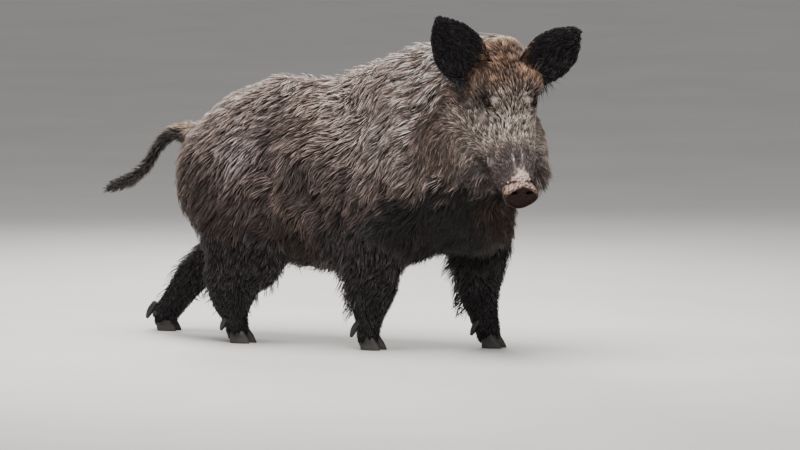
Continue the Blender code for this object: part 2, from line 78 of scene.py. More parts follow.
HEAD_PITCH = math.radians(61.5)
MIDLINE = middle("trunk").x
EYES = {"right": middle("eye_right"), "left": middle("eye_left")}
BETWEEN_EYES = (EYES["right"] + EYES["left"]) / 2
HEAD_LEFT = (EYES["left"] - EYES["right"]).normalized()
LEVEL = HEAD_LEFT.cross(Vector((0, 0, 1))).normalized()
HEAD_ALONG = LEVEL * math.cos(HEAD_PITCH) - Vector((0, 0, 1)) * math.sin(HEAD_PITCH)
HEAD_OUT = HEAD_ALONG.cross(HEAD_LEFT)
HEAD_AXES = np.array([HEAD_LEFT, HEAD_ALONG, HEAD_OUT])


def on_head(points):
    """Points in the head's own axes, from between the eyes: to its left, along the face, out of it."""
    return (np.asarray(points) - np.array(BETWEEN_EYES)) @ HEAD_AXES.T


print("head points along", [round(v, 2) for v in HEAD_ALONG], "and faces", [round(v, 2) for v in HEAD_OUT])

# %% [markdown]
# ## Camera, lights and floor
# The animal is seen from its right, a little from the front and a little from above. The lens is long, which
# keeps the near and far legs to one scale. A forest's light comes from the whole sky, so the largest lamp is
# a soft sheet overhead. A weaker one fills the face, and one from behind picks out the tips along the back.

# %% Camera
AZIMUTH, ELEVATION, DISTANCE, VIEW_WIDTH = math.radians(-62), math.radians(5), 24.0, 2.24
STANDS_AT = Vector((MIDLINE, 0.0175, 0))
AIM_RIGHT, AIM_UP = 0.196, 0.3304
SENSOR = 36
toward_camera = Vector(
    (
        math.sin(AZIMUTH) * math.cos(ELEVATION),
        -math.cos(AZIMUTH) * math.cos(ELEVATION),
        math.sin(ELEVATION),
    )
)
screen_right = Vector((0, 0, 1)).cross(toward_camera).normalized()
screen_up = toward_camera.cross(screen_right)
aim = STANDS_AT + screen_right * AIM_RIGHT + screen_up * AIM_UP

camera_data = bpy.data.cameras.new("camera")
camera_data.sensor_width = SENSOR
camera_data.lens = SENSOR * DISTANCE / VIEW_WIDTH
camera_data.clip_end = 200
camera = in_scene("camera", camera_data)
camera.matrix_world = (
    Matrix.Translation(aim + toward_camera * DISTANCE)
    @ Matrix((screen_right, screen_up, toward_camera)).transposed().to_4x4()
)
bpy.context.scene.camera = camera
print("lens", round(camera_data.lens), "mm at", DISTANCE, "m")


# %% Lamps
def soft_lamp(name, power, size, place, target, tint):
    """A square sheet of light at a place, turned to face its target."""
    data = bpy.data.lights.new(name, "AREA")
    data.shape = "SQUARE"
    data.size = size
    data.energy = power
    data.color = tint
    lamp = in_scene(name, data)
    lamp.location = place
    lamp.rotation_euler = (Vector(target) - Vector(place)).to_track_quat("-Z", "Y").to_euler()


soft_lamp("sky_sheet", 205, 2.2, place=(-0.5, -0.1, 3.0), target=(0, 0, 0.5), tint=(1.0, 0.985, 0.965))
soft_lamp("face_fill", 46, 1.6, place=(-3.2, -3.0, 1.9), target=(0, -0.3, 0.60), tint=(1.0, 0.98, 0.96))
soft_lamp("back_light", 120, 1.4, place=(2.2, 1.6, 2.4), target=(0, 0, 0.7), tint=(1.0, 0.97, 0.93))

world = bpy.data.worlds.new("studio")
world.use_nodes = True
backdrop = world.node_tree.nodes["Background"]
backdrop.inputs["Color"].default_value = (0.80, 0.80, 0.80, 1)
backdrop.inputs["Strength"].default_value = 0.48
bpy.context.scene.world = world
print("lamps:", [lamp.name for lamp in bpy.data.lights])

# %% [markdown]
# ## Writing shaders as sums
# A node tree is a formula. One small class wraps a socket so that the formula can be written as one: a plus
# sign adds an Add node, and 1 - mask works because the reflected forms are there too. Colours would turn
# grey in a Math node, so they are blended and multiplied by Mix nodes, which the class makes as well.


# %% The socket class
class Term:
    """A value, colour or vector in one material, with arithmetic that adds the nodes."""

    def __init__(self, tree, socket):
        self.tree, self.socket = tree, socket

    def node(self, kind, settings=None, **values):
        """Any node: its type, its settings first, then its sockets, by name or as i0, i1 and so on."""
        made = self.tree.nodes.new(kind)
        for key, value in (settings or {}).items():
            setattr(made, key, value)
        for key, value in values.items():
            numbered = key[0] == "i" and key[1:].isdigit()
            socket = made.inputs[int(key[1:]) if numbered else key.replace("_", " ")]
            if isinstance(value, Term):
                self.tree.links.new(value.socket, socket)
            else:
                socket.default_value = value
        return made

    def term(self, socket):
        """Another socket of the same material, wrapped."""
        return Term(self.tree, socket)

    def math(self, operation, a, b):
        """One Math node on two values."""
        return self.term(self.node("ShaderNodeMath", {"operation": operation}, i0=a, i1=b).outputs[0])

    def __add__(self, other):
        return self.math("ADD", self, other)

    def __radd__(self, other):
        return self.math("ADD", other, self)

    def __sub__(self, other):
        return self.math("SUBTRACT", self, other)

    def __rsub__(self, other):
        return self.math("SUBTRACT", other, self)

    def __mul__(self, other):
        return self.math("MULTIPLY", self, other)

    def __rmul__(self, other):
        return self.math("MULTIPLY", other, self)

    def mix_colours(self, kind, share, first, second):
        """One Mix node on two colours."""
        settings = {"data_type": "RGBA", "blend_type": kind}
        return self.term(self.node("ShaderNodeMix", settings, i0=share, i6=first, i7=second).outputs[2])

    def blend(self, first, second):
        """Two colours mixed by this value."""
        return self.mix_colours("MIX", self, first, second)

    def stained(self, share, by):
        """This colour multiplied by another, as far as the share goes."""
        return self.mix_colours("MULTIPLY", share, self, by)

    def step(self, low, high):
        """0 below low, 1 above high, and smooth between them."""
        made = self.node("ShaderNodeMapRange", {"interpolation_type": "SMOOTHSTEP"}, i0=self, i1=low, i2=high)
        return self.term(made.outputs[0])


def new_material(name, **fixed):
    """A material, its shader with the values that are the same all over, and a Term to start from."""
    material = bpy.data.materials.new(name)
    material.use_nodes = True
    shader = material.node_tree.nodes["Principled BSDF"]
    for key, value in fixed.items():
        shader.inputs[key.replace("_", " ")].default_value = value
    return material, shader, Term(material.node_tree, None)


def feed(term, shader, name):
    """Links a term to one of the shader's sockets."""
    term.tree.links.new(term.socket, shader.inputs[name])


def grain(start, scale, detail=4.0, roughness=0.6, stretch=None):
    """A noise in metres on the object, drawn out along an axis where stretch is given."""
    place = start.term(start.node("ShaderNodeTexCoord").outputs["Object"])
    if stretch:
        place = start.term(start.node("ShaderNodeMapping", None, Vector=place, Scale=stretch).outputs[0])
    fineness = {"Scale": scale, "Detail": detail, "Roughness": roughness}
    return start.term(start.node("ShaderNodeTexNoise", None, Vector=place, **fineness).outputs["Fac"])


def bump(start, height, strength, distance):
    """A Bump node's normal from a height."""
    made = start.node("ShaderNodeBump", None, Height=height, Strength=strength, Distance=distance)
    return start.term(made.outputs[0])


# %% Floor
FLOOR_REACH = 30


def pale_floor():
    """A plain pale floor, with the faint mottling of swept plaster."""
    mesh = bpy.data.meshes.new("floor")
    corners = [(x * FLOOR_REACH, y * FLOOR_REACH, 0) for x, y in ((-1, -1), (1, -1), (1, 1), (-1, 1))]
    mesh.from_pydata(corners, [], [(0, 1, 2, 3)])
    floor = in_scene("floor", mesh)
    material, shader, start = new_material("pale_floor", Roughness=0.85)
    swept = grain(start, 1.4).step(0.3, 0.7)
    feed(swept.blend((0.60, 0.585, 0.56, 1), (0.64, 0.625, 0.60, 1)), shader, "Base Color")
    mesh.materials.append(material)


pale_floor()
print("floor:", 2 * FLOOR_REACH, "m square")

# %% [markdown]
# ## One hide over the whole form
# The CAD model is parted at the neck, jaw and legs, and a hide has no such seams. The fleshy solids are
# swollen by a hair so that they touch, poured together, and drawn again as one even net with a voxel
# remesh. A few rounds of averaging each point with its neighbours then take out the steps that the net
# leaves. The cups that hold the eyes are filled with a ball each, so that the hide first runs straight over
# the globes, as it does on an animal with its eyes shut. The lids are opened in it later.


# %% Pour the fleshy solids together
LEGS = ["foreleg_right", "foreleg_left", "hind_leg_right", "hind_leg_left"]
EARS = ["ear_right", "ear_left"]
FLESH = ["trunk", "neck", "head", "lower_jaw", *EARS, "tail", *LEGS]
NET = 0.005
WELD = 0.00002
SWELL, EAR_SWELL = 0.0006, 0.0028
EYE_RADIUS = float(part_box("eye_right")[1].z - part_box("eye_right")[0].z) / 2


def welded(node):
    """A copy of a CAD node's surface with its triangles joined up, and the node itself left alone."""
    surface = bmesh.new()
    surface.from_mesh(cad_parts[node].data)
    bmesh.ops.remove_doubles(surface, verts=surface.verts, dist=WELD)
    bmesh.ops.recalc_face_normals(surface, faces=surface.faces)
    return surface


def apply_modifiers(obj):
    """Makes what an object's modifiers do part of its mesh."""
    before = obj.data
    graph = bpy.context.evaluated_depsgraph_get()
    obj.data = bpy.data.meshes.new_from_object(obj.evaluated_get(graph))
    obj.modifiers.clear()
    bpy.data.meshes.remove(before)


def swollen(node, amount):
    """A CAD node's surface, pushed out along its normals."""
    surface = welded(node)
    surface.normal_update()
    pushes = [vert.normal * amount for vert in surface.verts]
    for vert, push in zip(surface.verts, pushes):
        vert.co += push
    mesh = bpy.data.meshes.new("poured")
    surface.to_mesh(mesh)
    surface.free()
    return mesh


def poured(nodes):
    """All the nodes as one closed net."""
    mass = bmesh.new()
    for node in nodes:
        mesh = swollen(node, EAR_SWELL if node in EARS else SWELL)
        mass.from_mesh(mesh)
        bpy.data.meshes.remove(mesh)
    plug = EYE_RADIUS * 1.05
    for eye in EYES.values():
        bmesh.ops.create_icosphere(mass, subdivisions=4, radius=plug, matrix=Matrix.Translation(eye))
    mesh = bpy.data.meshes.new("hide")
    mass.to_mesh(mesh)
    mass.free()
    hide = in_scene("hide", mesh)
    remesh = hide.modifiers.new("net", "REMESH")
    remesh.mode = "VOXEL"
    remesh.voxel_size = NET
    apply_modifiers(hide)
    return hide


hide = poured(FLESH)
print("hide:", len(hide.data.vertices), "points")


# %% [markdown]
# The net is made finer round the eyes and the muzzle, where the lids and lips need more points to bend. A
# smaller voxel everywhere would do it too, but at four times the points. Anything that was shut in between
# two solids is a bubble inside the hide, and it is thrown away.


# %% Keep the outer surface and refine the face
def largest_shell(surface):
    """Deletes every shell but the one with the most points."""
    surface.verts.ensure_lookup_table()
    seen = np.zeros(len(surface.verts), int)
    shells = 0
    for first in surface.verts:
        if seen[first.index]:
            continue
        shells += 1
        queue = [first]
        seen[first.index] = shells
        while queue:
            for edge in queue.pop().link_edges:
                for vert in edge.verts:
                    if not seen[vert.index]:
                        seen[vert.index] = shells
                        queue.append(vert)
    biggest = np.bincount(seen).argmax()
    stray = [vert for vert in surface.verts if seen[vert.index] != biggest]
    bmesh.ops.delete(surface, geom=stray, context="VERTS")
    return shells


def refine(surface, centres, reach):
    """Halves the net within reach of any of the centres."""
    near = set()
    for vert in surface.verts:
        if any((vert.co - centre).length < reach for centre in centres):
            near.add(vert)
    edges = [edge for edge in surface.edges if edge.verts[0] in near and edge.verts[1] in near]
    bmesh.ops.subdivide_edges(surface, edges=edges, cuts=1, use_grid_fill=True)


surface = bmesh.new()
surface.from_mesh(hide.data)
print("shells found:", largest_shell(surface))
refine(surface, [*EYES.values(), middle("snout")], 0.052)
for reach in (0.026, 0.018):
    refine(surface, EYES.values(), reach)
bmesh.ops.triangulate(surface, faces=surface.faces)
surface.to_mesh(hide.data)
surface.free()
print("hide after refining:", len(hide.data.vertices), "points,", len(hide.data.polygons), "triangles")


# %% [markdown]
# From here the hide is handled as arrays of points. A loop over Blender's vertices would take minutes for
# each step, while one line of arithmetic on an array moves all of them at once.


# %% The hide as arrays
def get_array(items, name, width, kind=float):
    """One property of every item in a Blender list, as rows."""
    flat = np.empty(len(items) * width, kind)
    items.foreach_get(name, flat)
    return flat.reshape(-1, width) if width > 1 else flat


class Net:
    """The hide's points, its links and the arithmetic on them."""

    def __init__(self, mesh):
        self.mesh = mesh
        self.points = get_array(mesh.vertices, "co", 3)
        self.links = get_array(mesh.edges, "vertices", 2, np.int32)
        self.triangles = get_array(mesh.polygons, "vertices", 3, np.int32)
        self.count = len(self.points)
        ends = self.links.ravel()
        self.degree = np.maximum(np.bincount(ends, minlength=self.count), 1)

    def average(self, values):
        """Each point's neighbours, averaged."""
        rows = values.reshape(self.count, -1)
        a, b = self.links[:, 0], self.links[:, 1]
        total = np.empty_like(rows)
        for k in range(rows.shape[1]):
            total[:, k] = np.bincount(a, rows[b, k], self.count) + np.bincount(b, rows[a, k], self.count)
        return (total / self.degree[:, None]).reshape(values.shape)

    def soften(self, values, rounds):
        """Values drawn half way to their neighbours' a few times."""
        for _ in range(rounds):
            values = values * 0.5 + self.average(values) * 0.5
        return values

    def normals(self):
        """The normal at each point, from where the points are now."""
        corners = self.points[self.triangles]
        face = np.cross(corners[:, 1] - corners[:, 0], corners[:, 2] - corners[:, 0])
        normal = np.zeros_like(self.points)
        for k in range(3):
            for axis in range(3):
                normal[:, axis] += np.bincount(self.triangles[:, k], face[:, axis], self.count)
        return unit(normal)

    def save(self):
        """Writes the points back to the mesh."""
        self.mesh.vertices.foreach_set("co", self.points.astype(np.float32).ravel())
        self.mesh.update()


def unit(vectors):
    """Rows of length one."""
    return vectors / np.maximum(np.linalg.norm(vectors, axis=-1, keepdims=True), 1e-9)


def ease(value, low, high):
    """0 on low's side, 1 on high's side, and a smooth rise between them, whichever is the larger."""
    rise = np.clip((value - low) / (high - low), 0, 1)
    return rise * rise * (3 - 2 * rise)


def peak(value, place, size):
    """1 at a place along a value, falling away over a size to both sides."""
    return np.exp(-(((value - place) / size) ** 2))


def distance(points, place):
    """How far each point lies from a place."""
    return np.linalg.norm(points - np.array(place), axis=1)


net = Net(hide.data)
net.points = net.soften(net.points, 6)
print("net:", net.count, "points")


# %% [markdown]
# ## Whose skin is whose
# Coat length, colour and lie change from part to part, so every point first asks which solid it lies
# nearest. Those answers are hard-edged. Letting each one spread to its neighbours turns them into soft
# shares.


# %% Shares of each part
def nearest_part(points, nodes):
    """The index of the node that lies nearest each point."""
    corners, faces, owner = [], [], []
    for index, node in enumerate(nodes):
        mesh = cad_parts[node].data
        base = len(corners)
        corners += [vert.co.copy() for vert in mesh.vertices]
        for polygon in mesh.polygons:
            faces.append([base + i for i in polygon.vertices])
            owner.append(index)
    tree = BVHTree.FromPolygons(corners, faces)
    return np.array([owner[tree.find_nearest(point)[2]] for point in points.tolist()])


part = nearest_part(net.points, FLESH)
owned = {node: part == index for index, node in enumerate(FLESH)}
share = {node: net.soften(mine.astype(float), 14) for node, mine in owned.items()}
leg_share = sum(share[leg] for leg in LEGS)
ear_share = sum(share[ear] for ear in EARS)
head_share = share["head"] + share["lower_jaw"]
body_share = share["trunk"] + share["neck"]
print({node: int(mine.sum()) for node, mine in owned.items()})


# %% [markdown]
# ## Sinking the hide by the depth of the coat
# The CAD model runs out to the tips of the hair. The hide lies deeper: about two centimetres on the body,
# more under the ruff and the mane, and next to nothing round the eyes, on the muzzle and above the hooves.


# %% Depth of the coat
points = net.points
sideways, down_face, out_face = on_head(points).T
height, back = points[:, 2], points[:, 1]
off_middle = np.abs(points[:, 0] - MIDLINE)
eye_reach = np.minimum(*[distance(points, eye) for eye in EYES.values()])
snout_reach = distance(points, middle("snout"))
start_normal = net.normals()

muzzle = ease(down_face, 0.055, 0.13) * ease(out_face, -0.16, -0.09)
cheek = ease(out_face, -0.045, -0.11) * ease(down_face, 0.17, 0.08)
forehead = ease(down_face, 0.0, -0.06) * ease(out_face, -0.10, -0.05)
topline = ease(start_normal[:, 2], 0.55, 0.9) * ease(back, 0.15, -0.15)
belly = ease(start_normal[:, 2], -0.3, -0.8)
low_leg = ease(height, 0.27, 0.11)

depth = 0.018 * share["trunk"] + 0.022 * share["neck"] + 0.0048 * ear_share + 0.008 * share["tail"]
depth += head_share * (0.009 + 0.008 * cheek + 0.006 * forehead - 0.005 * muzzle)
depth += leg_share * (0.014 - 0.0095 * low_leg)
depth += 0.008 * topline * body_share + 0.004 * belly * share["trunk"]
depth = net.soften(depth, 10)
depth *= ease(eye_reach, 0.010, 0.042)
depth *= ease(snout_reach, 0.040, 0.085)
depth = np.maximum(net.soften(depth, 4), 0.0006)
SINKING_STEPS = 6
for _ in range(SINKING_STEPS):
    net.points = net.points - net.normals() * depth[:, None] / SINKING_STEPS
    calm = ease(depth, 0.004, 0.012)[:, None] * 0.35
    net.points = net.points * (1 - calm) + net.average(net.points) * calm


# %% [markdown]
# The body isn't a barrel. A fold runs down the flank ahead of the thigh, the belly draws in behind the
# elbow, and the shoulder blade and the thigh stand a little proud of them. The topline dips at the loin and
# rises at the croup. Sculpting could do this by hand, but a few named places and heights can be read and
# changed.


# %% Folds and muscles
def off_line(rows, stops):
    """How far each row of numbers lies from a bent line through the stops."""
    best = np.full(len(rows), np.inf)
    for first, second in zip(np.array(stops), np.array(stops[1:])):
        run = second - first
        along = np.clip((rows - first) @ run / (run @ run), 0, 1)
        best = np.minimum(best, np.linalg.norm(rows - first - along[:, None] * run, axis=1))
    return best


def mound(across, up, centre, size):
    """1 at a place seen from the side, falling away over a size."""
    return np.exp(-((across - centre[0]) ** 2 + (up - centre[1]) ** 2) / size**2)


# A fold is a line of (back, height). A muscle, or a rise of the topline, is its centre, its size and how far
# it stands out.
FLANK_FOLD = [(0.098, 0.69), (0.132, 0.50), (0.067, 0.37)]
ELBOW_FOLD = [(-0.13, 0.58), (-0.10, 0.44), (-0.12, 0.34)]
MUSCLES = {
    "thigh": ((0.23, 0.52), 0.08, 0.004),
    "shoulder blade": ((-0.28, 0.55), 0.09, 0.004),
    "waist": ((0.02, 0.44), 0.07, -0.006),
}
TOPLINE = {"croup": (0.165, 0.040, 0.008), "loin": (0.005, 0.055, -0.009), "tail head": (0.320, 0.030, 0.006)}

from_side = np.stack([back, height], axis=1)
side_on = ease(np.abs(start_normal[:, 0]), 0.35, 0.75) * (share["trunk"] + 0.7 * leg_share)
flank_fold = peak(off_line(from_side, FLANK_FOLD), 0, 0.020)
relief = -0.011 * flank_fold - 0.006 * peak(off_line(from_side, ELBOW_FOLD), 0, 0.024)
for place, size, out in MUSCLES.values():
    relief += out * mound(back, height, place, size)
saddle = sum(out * peak(back, place, size) for place, size, out in TOPLINE.values())
shift = relief * side_on + saddle * ease(start_normal[:, 2], 0.35, 0.80) * share["trunk"]
net.points = net.points + net.normals() * shift[:, None]
print("coat depth, millimetres:", [round(float(v) * 1000, 1) for v in np.percentile(depth, (0, 50, 100))])


# %% [markdown]
# ## Lids and lips
# A boar's eye is small and set deep, and what gives it life is the thick rim of skin round an almond
# opening. Each point near an eye is slid in or out along the line from the eye's centre: behind the globe's
# front inside the almond, and just over it outside, with a raised rim and a crease round that. Before that,
# the points near the almond's edge are drawn on to it, so that the rim is a clean curve and not the zigzag
# of the net. The mouth is a groove along the seam between skull and jaw, and the lip swells over each tusk.

# %% Shape the lids
SIDES = {"right": -1, "left": 1}
ALMOND = (0.80, 0.50)


def eye_frame(side):
    """Which way an eye looks, the line of its corners, and the line across its lids."""
    looks = (HEAD_LEFT * side * 0.74 + HEAD_OUT * 0.66 + HEAD_ALONG * 0.05).normalized()
    corners = HEAD_ALONG * 0.90 - HEAD_LEFT * side * 0.30
    corners = (corners - looks * corners.dot(looks)).normalized()
    return np.array(looks), np.array(corners), np.array(looks.cross(corners))


def lid_place(points, side_name):
    """Where points lie round an eye: direction, distance, how far forward, and on which almond ring."""
    looks, corners, across = eye_frame(SIDES[side_name])
    spoke = points - np.array(EYES[side_name])
    far = np.linalg.norm(spoke, axis=1)
    spoke = spoke / far[:, None]
    ring = np.hypot(spoke @ corners / ALMOND[0], spoke @ across / ALMOND[1])
    return spoke, far, spoke @ looks, ring


def open_lids(points, side_name):
    """Opens the hide over one globe along the almond."""
    looks = eye_frame(SIDES[side_name])[0]
    spoke, far, ahead, ring = lid_place(points, side_name)
    front = (ahead > 0) & (far < EYE_RADIUS * 1.5)
    edge = np.clip(1 + (ring - 1) * 0.12, 0.97, 1.03)
    drawn = np.where(front & (ring > 0.76) & (ring < 1.20), edge / np.maximum(ring, 1e-6), 1.0)
    flat = (spoke - ahead[:, None] * looks) * drawn[:, None]
    forward = np.sqrt(np.clip(1 - (flat**2).sum(axis=1), 0, 1))
    spoke = np.where(front[:, None], flat + forward[:, None] * looks, spoke)
    rim = 0.0013 + 0.0017 * peak(ring, 1.35, 0.24) - 0.0012 * peak(ring, 1.85, 0.14)
    behind = 0.004
    seat = EYE_RADIUS - behind + (rim + behind) * ease(ring, 0.94, 1.02)
    hold = ease(ring, 2.5, 1.7) * ease(ahead, -0.35, 0.05) * ease(far, 0.036, 0.026)
    slid = far * (1 - hold) + seat * hold
    outside = (ring > 1.05) & (ahead > -0.1) & (far < 0.03)
    slid = np.where(outside, np.maximum(slid, EYE_RADIUS + 0.0012), slid)
    return np.array(EYES[side_name]) + spoke * slid[:, None]


for side_name in EYES:
    net.points = open_lids(net.points, side_name)
print("lids over globes of", round(EYE_RADIUS * 1000, 1), "mm")

# %% Shape the mouth
MOUTH_DEPTH = LIP_SWELL = 0.0045
jaw_edge, skull_edge = (net.soften(owned[node].astype(float), 3) for node in ("lower_jaw", "head"))
mouth_line = 4 * jaw_edge * skull_edge * ease(down_face, 0.100, 0.135)
normal = net.normals()
net.points = net.points - normal * (MOUTH_DEPTH * mouth_line)[:, None]
TUSKS = {"right": middle("tusk_right"), "left": middle("tusk_left")}
lip_bulge = np.zeros(net.count)
for tusk in TUSKS.values():
    over = tusk + HEAD_ALONG * 0.012 + HEAD_OUT * 0.022
    lip_bulge += peak(distance(net.points, over), 0, 0.014)
net.points = net.points + normal * (LIP_SWELL * lip_bulge)[:, None]
print("mouth line at", int((mouth_line > 0.5).sum()), "points")


# %% [markdown]
# ## The lie of the coat
# Hair on a boar runs from the snout up the face, back along the neck and ribs, down the haunch and legs,
# out along each ear and down the tail. Each part gets its own direction, the soft shares blend them, and
# the result is laid flat on the surface at every point. A slow ripple turns it a little, so that no two
# handfuls agree.


# %% Directions of the hair
def ripple(points, size, seed, terms=9):
    """A smooth random value at each point, as often above nought as below it, with waves of that size."""
    dice = np.random.default_rng(seed)
    waves = unit(dice.normal(size=(terms, 3))) * (2 * math.pi / size) * dice.uniform(0.6, 1.4, (terms, 1))
    return np.sin(points @ waves.T + dice.uniform(0, 2 * math.pi, terms)).sum(axis=1) * math.sqrt(2 / terms)


def ear_line(node):
    """The base and tip of an ear, from its own solid."""
    spots = get_array(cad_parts[node].data.vertices, "co", 3)
    reach = np.linalg.norm(spots - np.array(BETWEEN_EYES), axis=1)
    order = reach.argsort()
    return spots[order[:30]].mean(axis=0), spots[order[-6:]].mean(axis=0)


def tail_slope(at_back):
    """How steeply the tail's own middle line rises or falls, at a distance back."""
    spots = get_array(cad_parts["tail"].data.vertices, "co", 3)
    curve = np.polyfit(spots[:, 1], spots[:, 2], 5)
    low, high = spots[:, 1].min() + 0.01, spots[:, 1].max() - 0.01
    return np.polyval(np.polyder(curve), np.clip(at_back, low, high))


def along_surface(vectors, normals):
    """Vectors with what points out of the surface taken away, at length one."""
    return unit(vectors - normals * (vectors * normals).sum(axis=1, keepdims=True))


normal = net.normals()
points = net.points
height, back = points[:, 2], points[:, 1]
upright = np.clip(normal[:, 2], 0, 1)
outward = np.sign(points[:, 0] - MIDLINE) * ease(off_middle, 0.0, 0.05)
haunch = ease(back, 0.05, 0.33)
droop = 0.45 + (0.85 + 0.60 * haunch) * (1 - upright) ** 0.6
body_lie = np.stack([1.15 * outward * upright, np.ones(net.count), -droop], axis=1)
neck_lie = np.stack([0.85 * outward * upright, np.ones(net.count), -0.25 - 1.55 * (1 - upright)], axis=1)
leg_lie = np.stack([np.zeros(net.count), np.full(net.count, 0.22), -np.ones(net.count)], axis=1)
side_of_face = np.clip(sideways / 0.06, -1, 1)
face_lie = -np.array(HEAD_ALONG) + side_of_face[:, None] * np.array(HEAD_LEFT) * 0.35
cheek_lie = np.array(-LEVEL * 0.75 + Vector((0, 0, -0.85))) + 0 * points
tail_lie = np.stack([0 * back, np.ones(net.count), tail_slope(back)], axis=1)

lie = share["trunk"][:, None] * unit(body_lie) + share["neck"][:, None] * unit(neck_lie)
lie += leg_share[:, None] * unit(leg_lie) + share["tail"][:, None] * unit(tail_lie)
fold = np.clip(cheek + share["lower_jaw"], 0, 1)[:, None]
lie += head_share[:, None] * unit(unit(face_lie) * (1 - fold) + unit(cheek_lie) * fold)
for ear in EARS:
    base, tip = ear_line(ear)
    lie += share[ear][:, None] * unit(tip - base)
lie = along_surface(lie, normal)
for _ in range(8):
    lie = along_surface(net.average(lie) + lie, normal)
turn = (0.30 * ripple(points, 0.11, 5) + 0.16 * ripple(points, 0.05, 6)) * np.clip(1 - 1.2 * muzzle, 0.25, 1)
turn *= (1 - 0.6 * (ear_share + share["tail"])) * (1 - 0.45 * haunch)
lie = unit(lie * np.cos(turn)[:, None] + np.cross(normal, lie) * np.sin(turn)[:, None])
print("mean lie of the coat:", [round(float(v), 2) for v in lie.mean(axis=0)])


# %% [markdown]
# ## Markings
# A boar's guard hairs are black at the root and split into pale tips, so its grey is a mixture and not a
# paint. Every place has a tip colour and a root colour. Legs, chest, ears and the end of the tail are near
# black, the belly is rusty, the forehead warm, the bridge of the nose and the cheeks frosted, and the
# muzzle slate. Both the hide and the hair read these same values, so the hide never shows through as a
# different animal.


# %% Dyes
def tone(red, green, blue):
    """A colour named as on a paint chart, 0 to 255, turned into light."""
    value = np.array([red, green, blue]) / 255
    return np.where(value > 0.04045, ((value + 0.055) / 1.055) ** 2.4, value / 12.92)


def dye(under, mask, colour):
    """Lays a colour over the rows of another where the mask is 1."""
    return under * (1 - mask[:, None]) + colour * mask[:, None]


class Coat:
    """The colour of the hair's tips and of its roots at every point of the hide."""

    def __init__(self, tips, roots):
        self.tips, self.roots = np.tile(tips, (net.count, 1)), np.tile(roots, (net.count, 1))

    def mark(self, mask, tips=None, roots=None, tips_share=1.0, roots_share=1.0):
        """Dyes the tips, the roots or both where the mask is 1, each as far as its share."""
        if tips is not None:
            self.tips = dye(self.tips, tips_share * mask, tips)
        if roots is not None:
            self.roots = dye(self.roots, roots_share * mask, roots)

    def lighten(self, gain):
        """Makes the tips paler where the gain is above nought, and darker where it is below."""
        self.tips = self.tips * (1 + gain)[:, None]


coat = Coat(tone(218, 193, 183), tone(44, 34, 31))


# %% [markdown]
# The body is painted from above: first what is pale, the crest of the back and the ruff, then what is dark,
# the low coat, and last the black legs and chest. The crest's pale tips are brightened further by a painted
# highlight from above, painted shade lies in the folds and on the ham, mounds of painted highlight and
# painted shade lie over the bone and in the hollows, and painted shade under the head darkens the chest.
# Patches are mounds with soft edges, and a ripple makes the border of a marking ragged, because hair
# doesn't end on a line.

# %% Edges of the body's markings
patchy = ripple(points, 0.13, 11) * 0.5 + ripple(points, 0.05, 12) * 0.5
ragged = height + 0.022 * ripple(points, 0.07, 13)
front = ease(back, 0.02, -0.10)
hump = ease(upright, 0.35, 0.85) * body_share
bib_edge = 0.434 - 0.26 * (back + 0.433) + 0.018 * peak(back, -0.45, 0.035)
chest = ease(ragged - bib_edge, 0.058, 0.008) * ease(back, -0.20, -0.28) * body_share
elbow = ease(ragged, 0.42, 0.345) * front * body_share
thigh = ease(ragged, 0.345, 0.27) * ease(back, 0.03, 0.12)
black_legs = net.soften(leg_share * ease(ragged, 0.37, 0.27), 6)
legs_and_chest = np.clip(black_legs + chest + elbow + thigh, 0, 1)
low_coat = ease(ragged, 0.60, 0.36) * (body_share + leg_share - 0.65 * share["neck"])
rusty = np.clip(ease(ragged, 0.385, 0.30) - legs_and_chest, 0, 1)
rump_edge = ease(back, 0.40, 0.47) * ease(height, 0.33, 0.45) * share["trunk"]
shaded_fold = flank_fold * side_on * ease(height, 0.46, 0.54)
shaded_fold += peak(back, -0.02, 0.10) * peak(ragged, 0.47, 0.08)

# %% Colour of the body
# A patch is its centre (back, height), its size, how strongly it dyes, and the tone of its tips.
PATCHES = {
    "grey lobe of the thigh": ((0.20, 0.55), 0.07, 0.55, (186, 180, 182)),
    "warm ribs": ((0.01, 0.62), 0.06, 0.50, (188, 160, 138)),
}
# A painted light is its centre (back, height), its size, and how much it lightens the tips: a painted
# highlight where the coat stands out over bone, and painted shade in a hollow where it is below nought.
PAINTED_LIGHT_AND_SHADE = {
    "hip": ((0.21, 0.515), 0.060, 1.0),
    "ribs": ((-0.09, 0.655), 0.065, 0.8),
    "nape": ((-0.32, 0.64), 0.060, 0.65),
    "loin": ((0.13, 0.63), 0.060, -0.35),
    "flank": ((0.04, 0.49), 0.045, -0.4),
    "groin": ((0.085, 0.345), 0.035, -0.5),
}
LOW_FOLD_HIGHLIGHT = [(0.105, 0.475), (0.065, 0.415), (0.0, 0.375), (-0.06, 0.385)]

coat.lighten(0.20 * patchy)
# The crest of the back is pale in its own right, and its tips are brightened past that as a painted highlight
# from above.
coat.mark(hump, 1.3 * tone(255, 229, 215), tips_share=0.85)
coat.mark(mound(back, height, (-0.26, 0.60), 0.10) * side_on, tone(248, 230, 220), tips_share=0.7)
coat.lighten(0.55 * share["neck"])
coat.roots = coat.roots * (1 - 0.45 * share["neck"])[:, None]
coat.mark(low_coat, tone(112, 94, 87), tips_share=0.90)
for place, size, strength, colour in PATCHES.values():
    coat.mark(mound(back, height, place, size) * share["trunk"], tone(*colour), tips_share=strength)
# Painted shade along the fold ahead of the thigh and in a hollow of the mid-flank.
coat.mark(np.clip(shaded_fold, 0, 1), tone(92, 78, 72), tips_share=0.60)
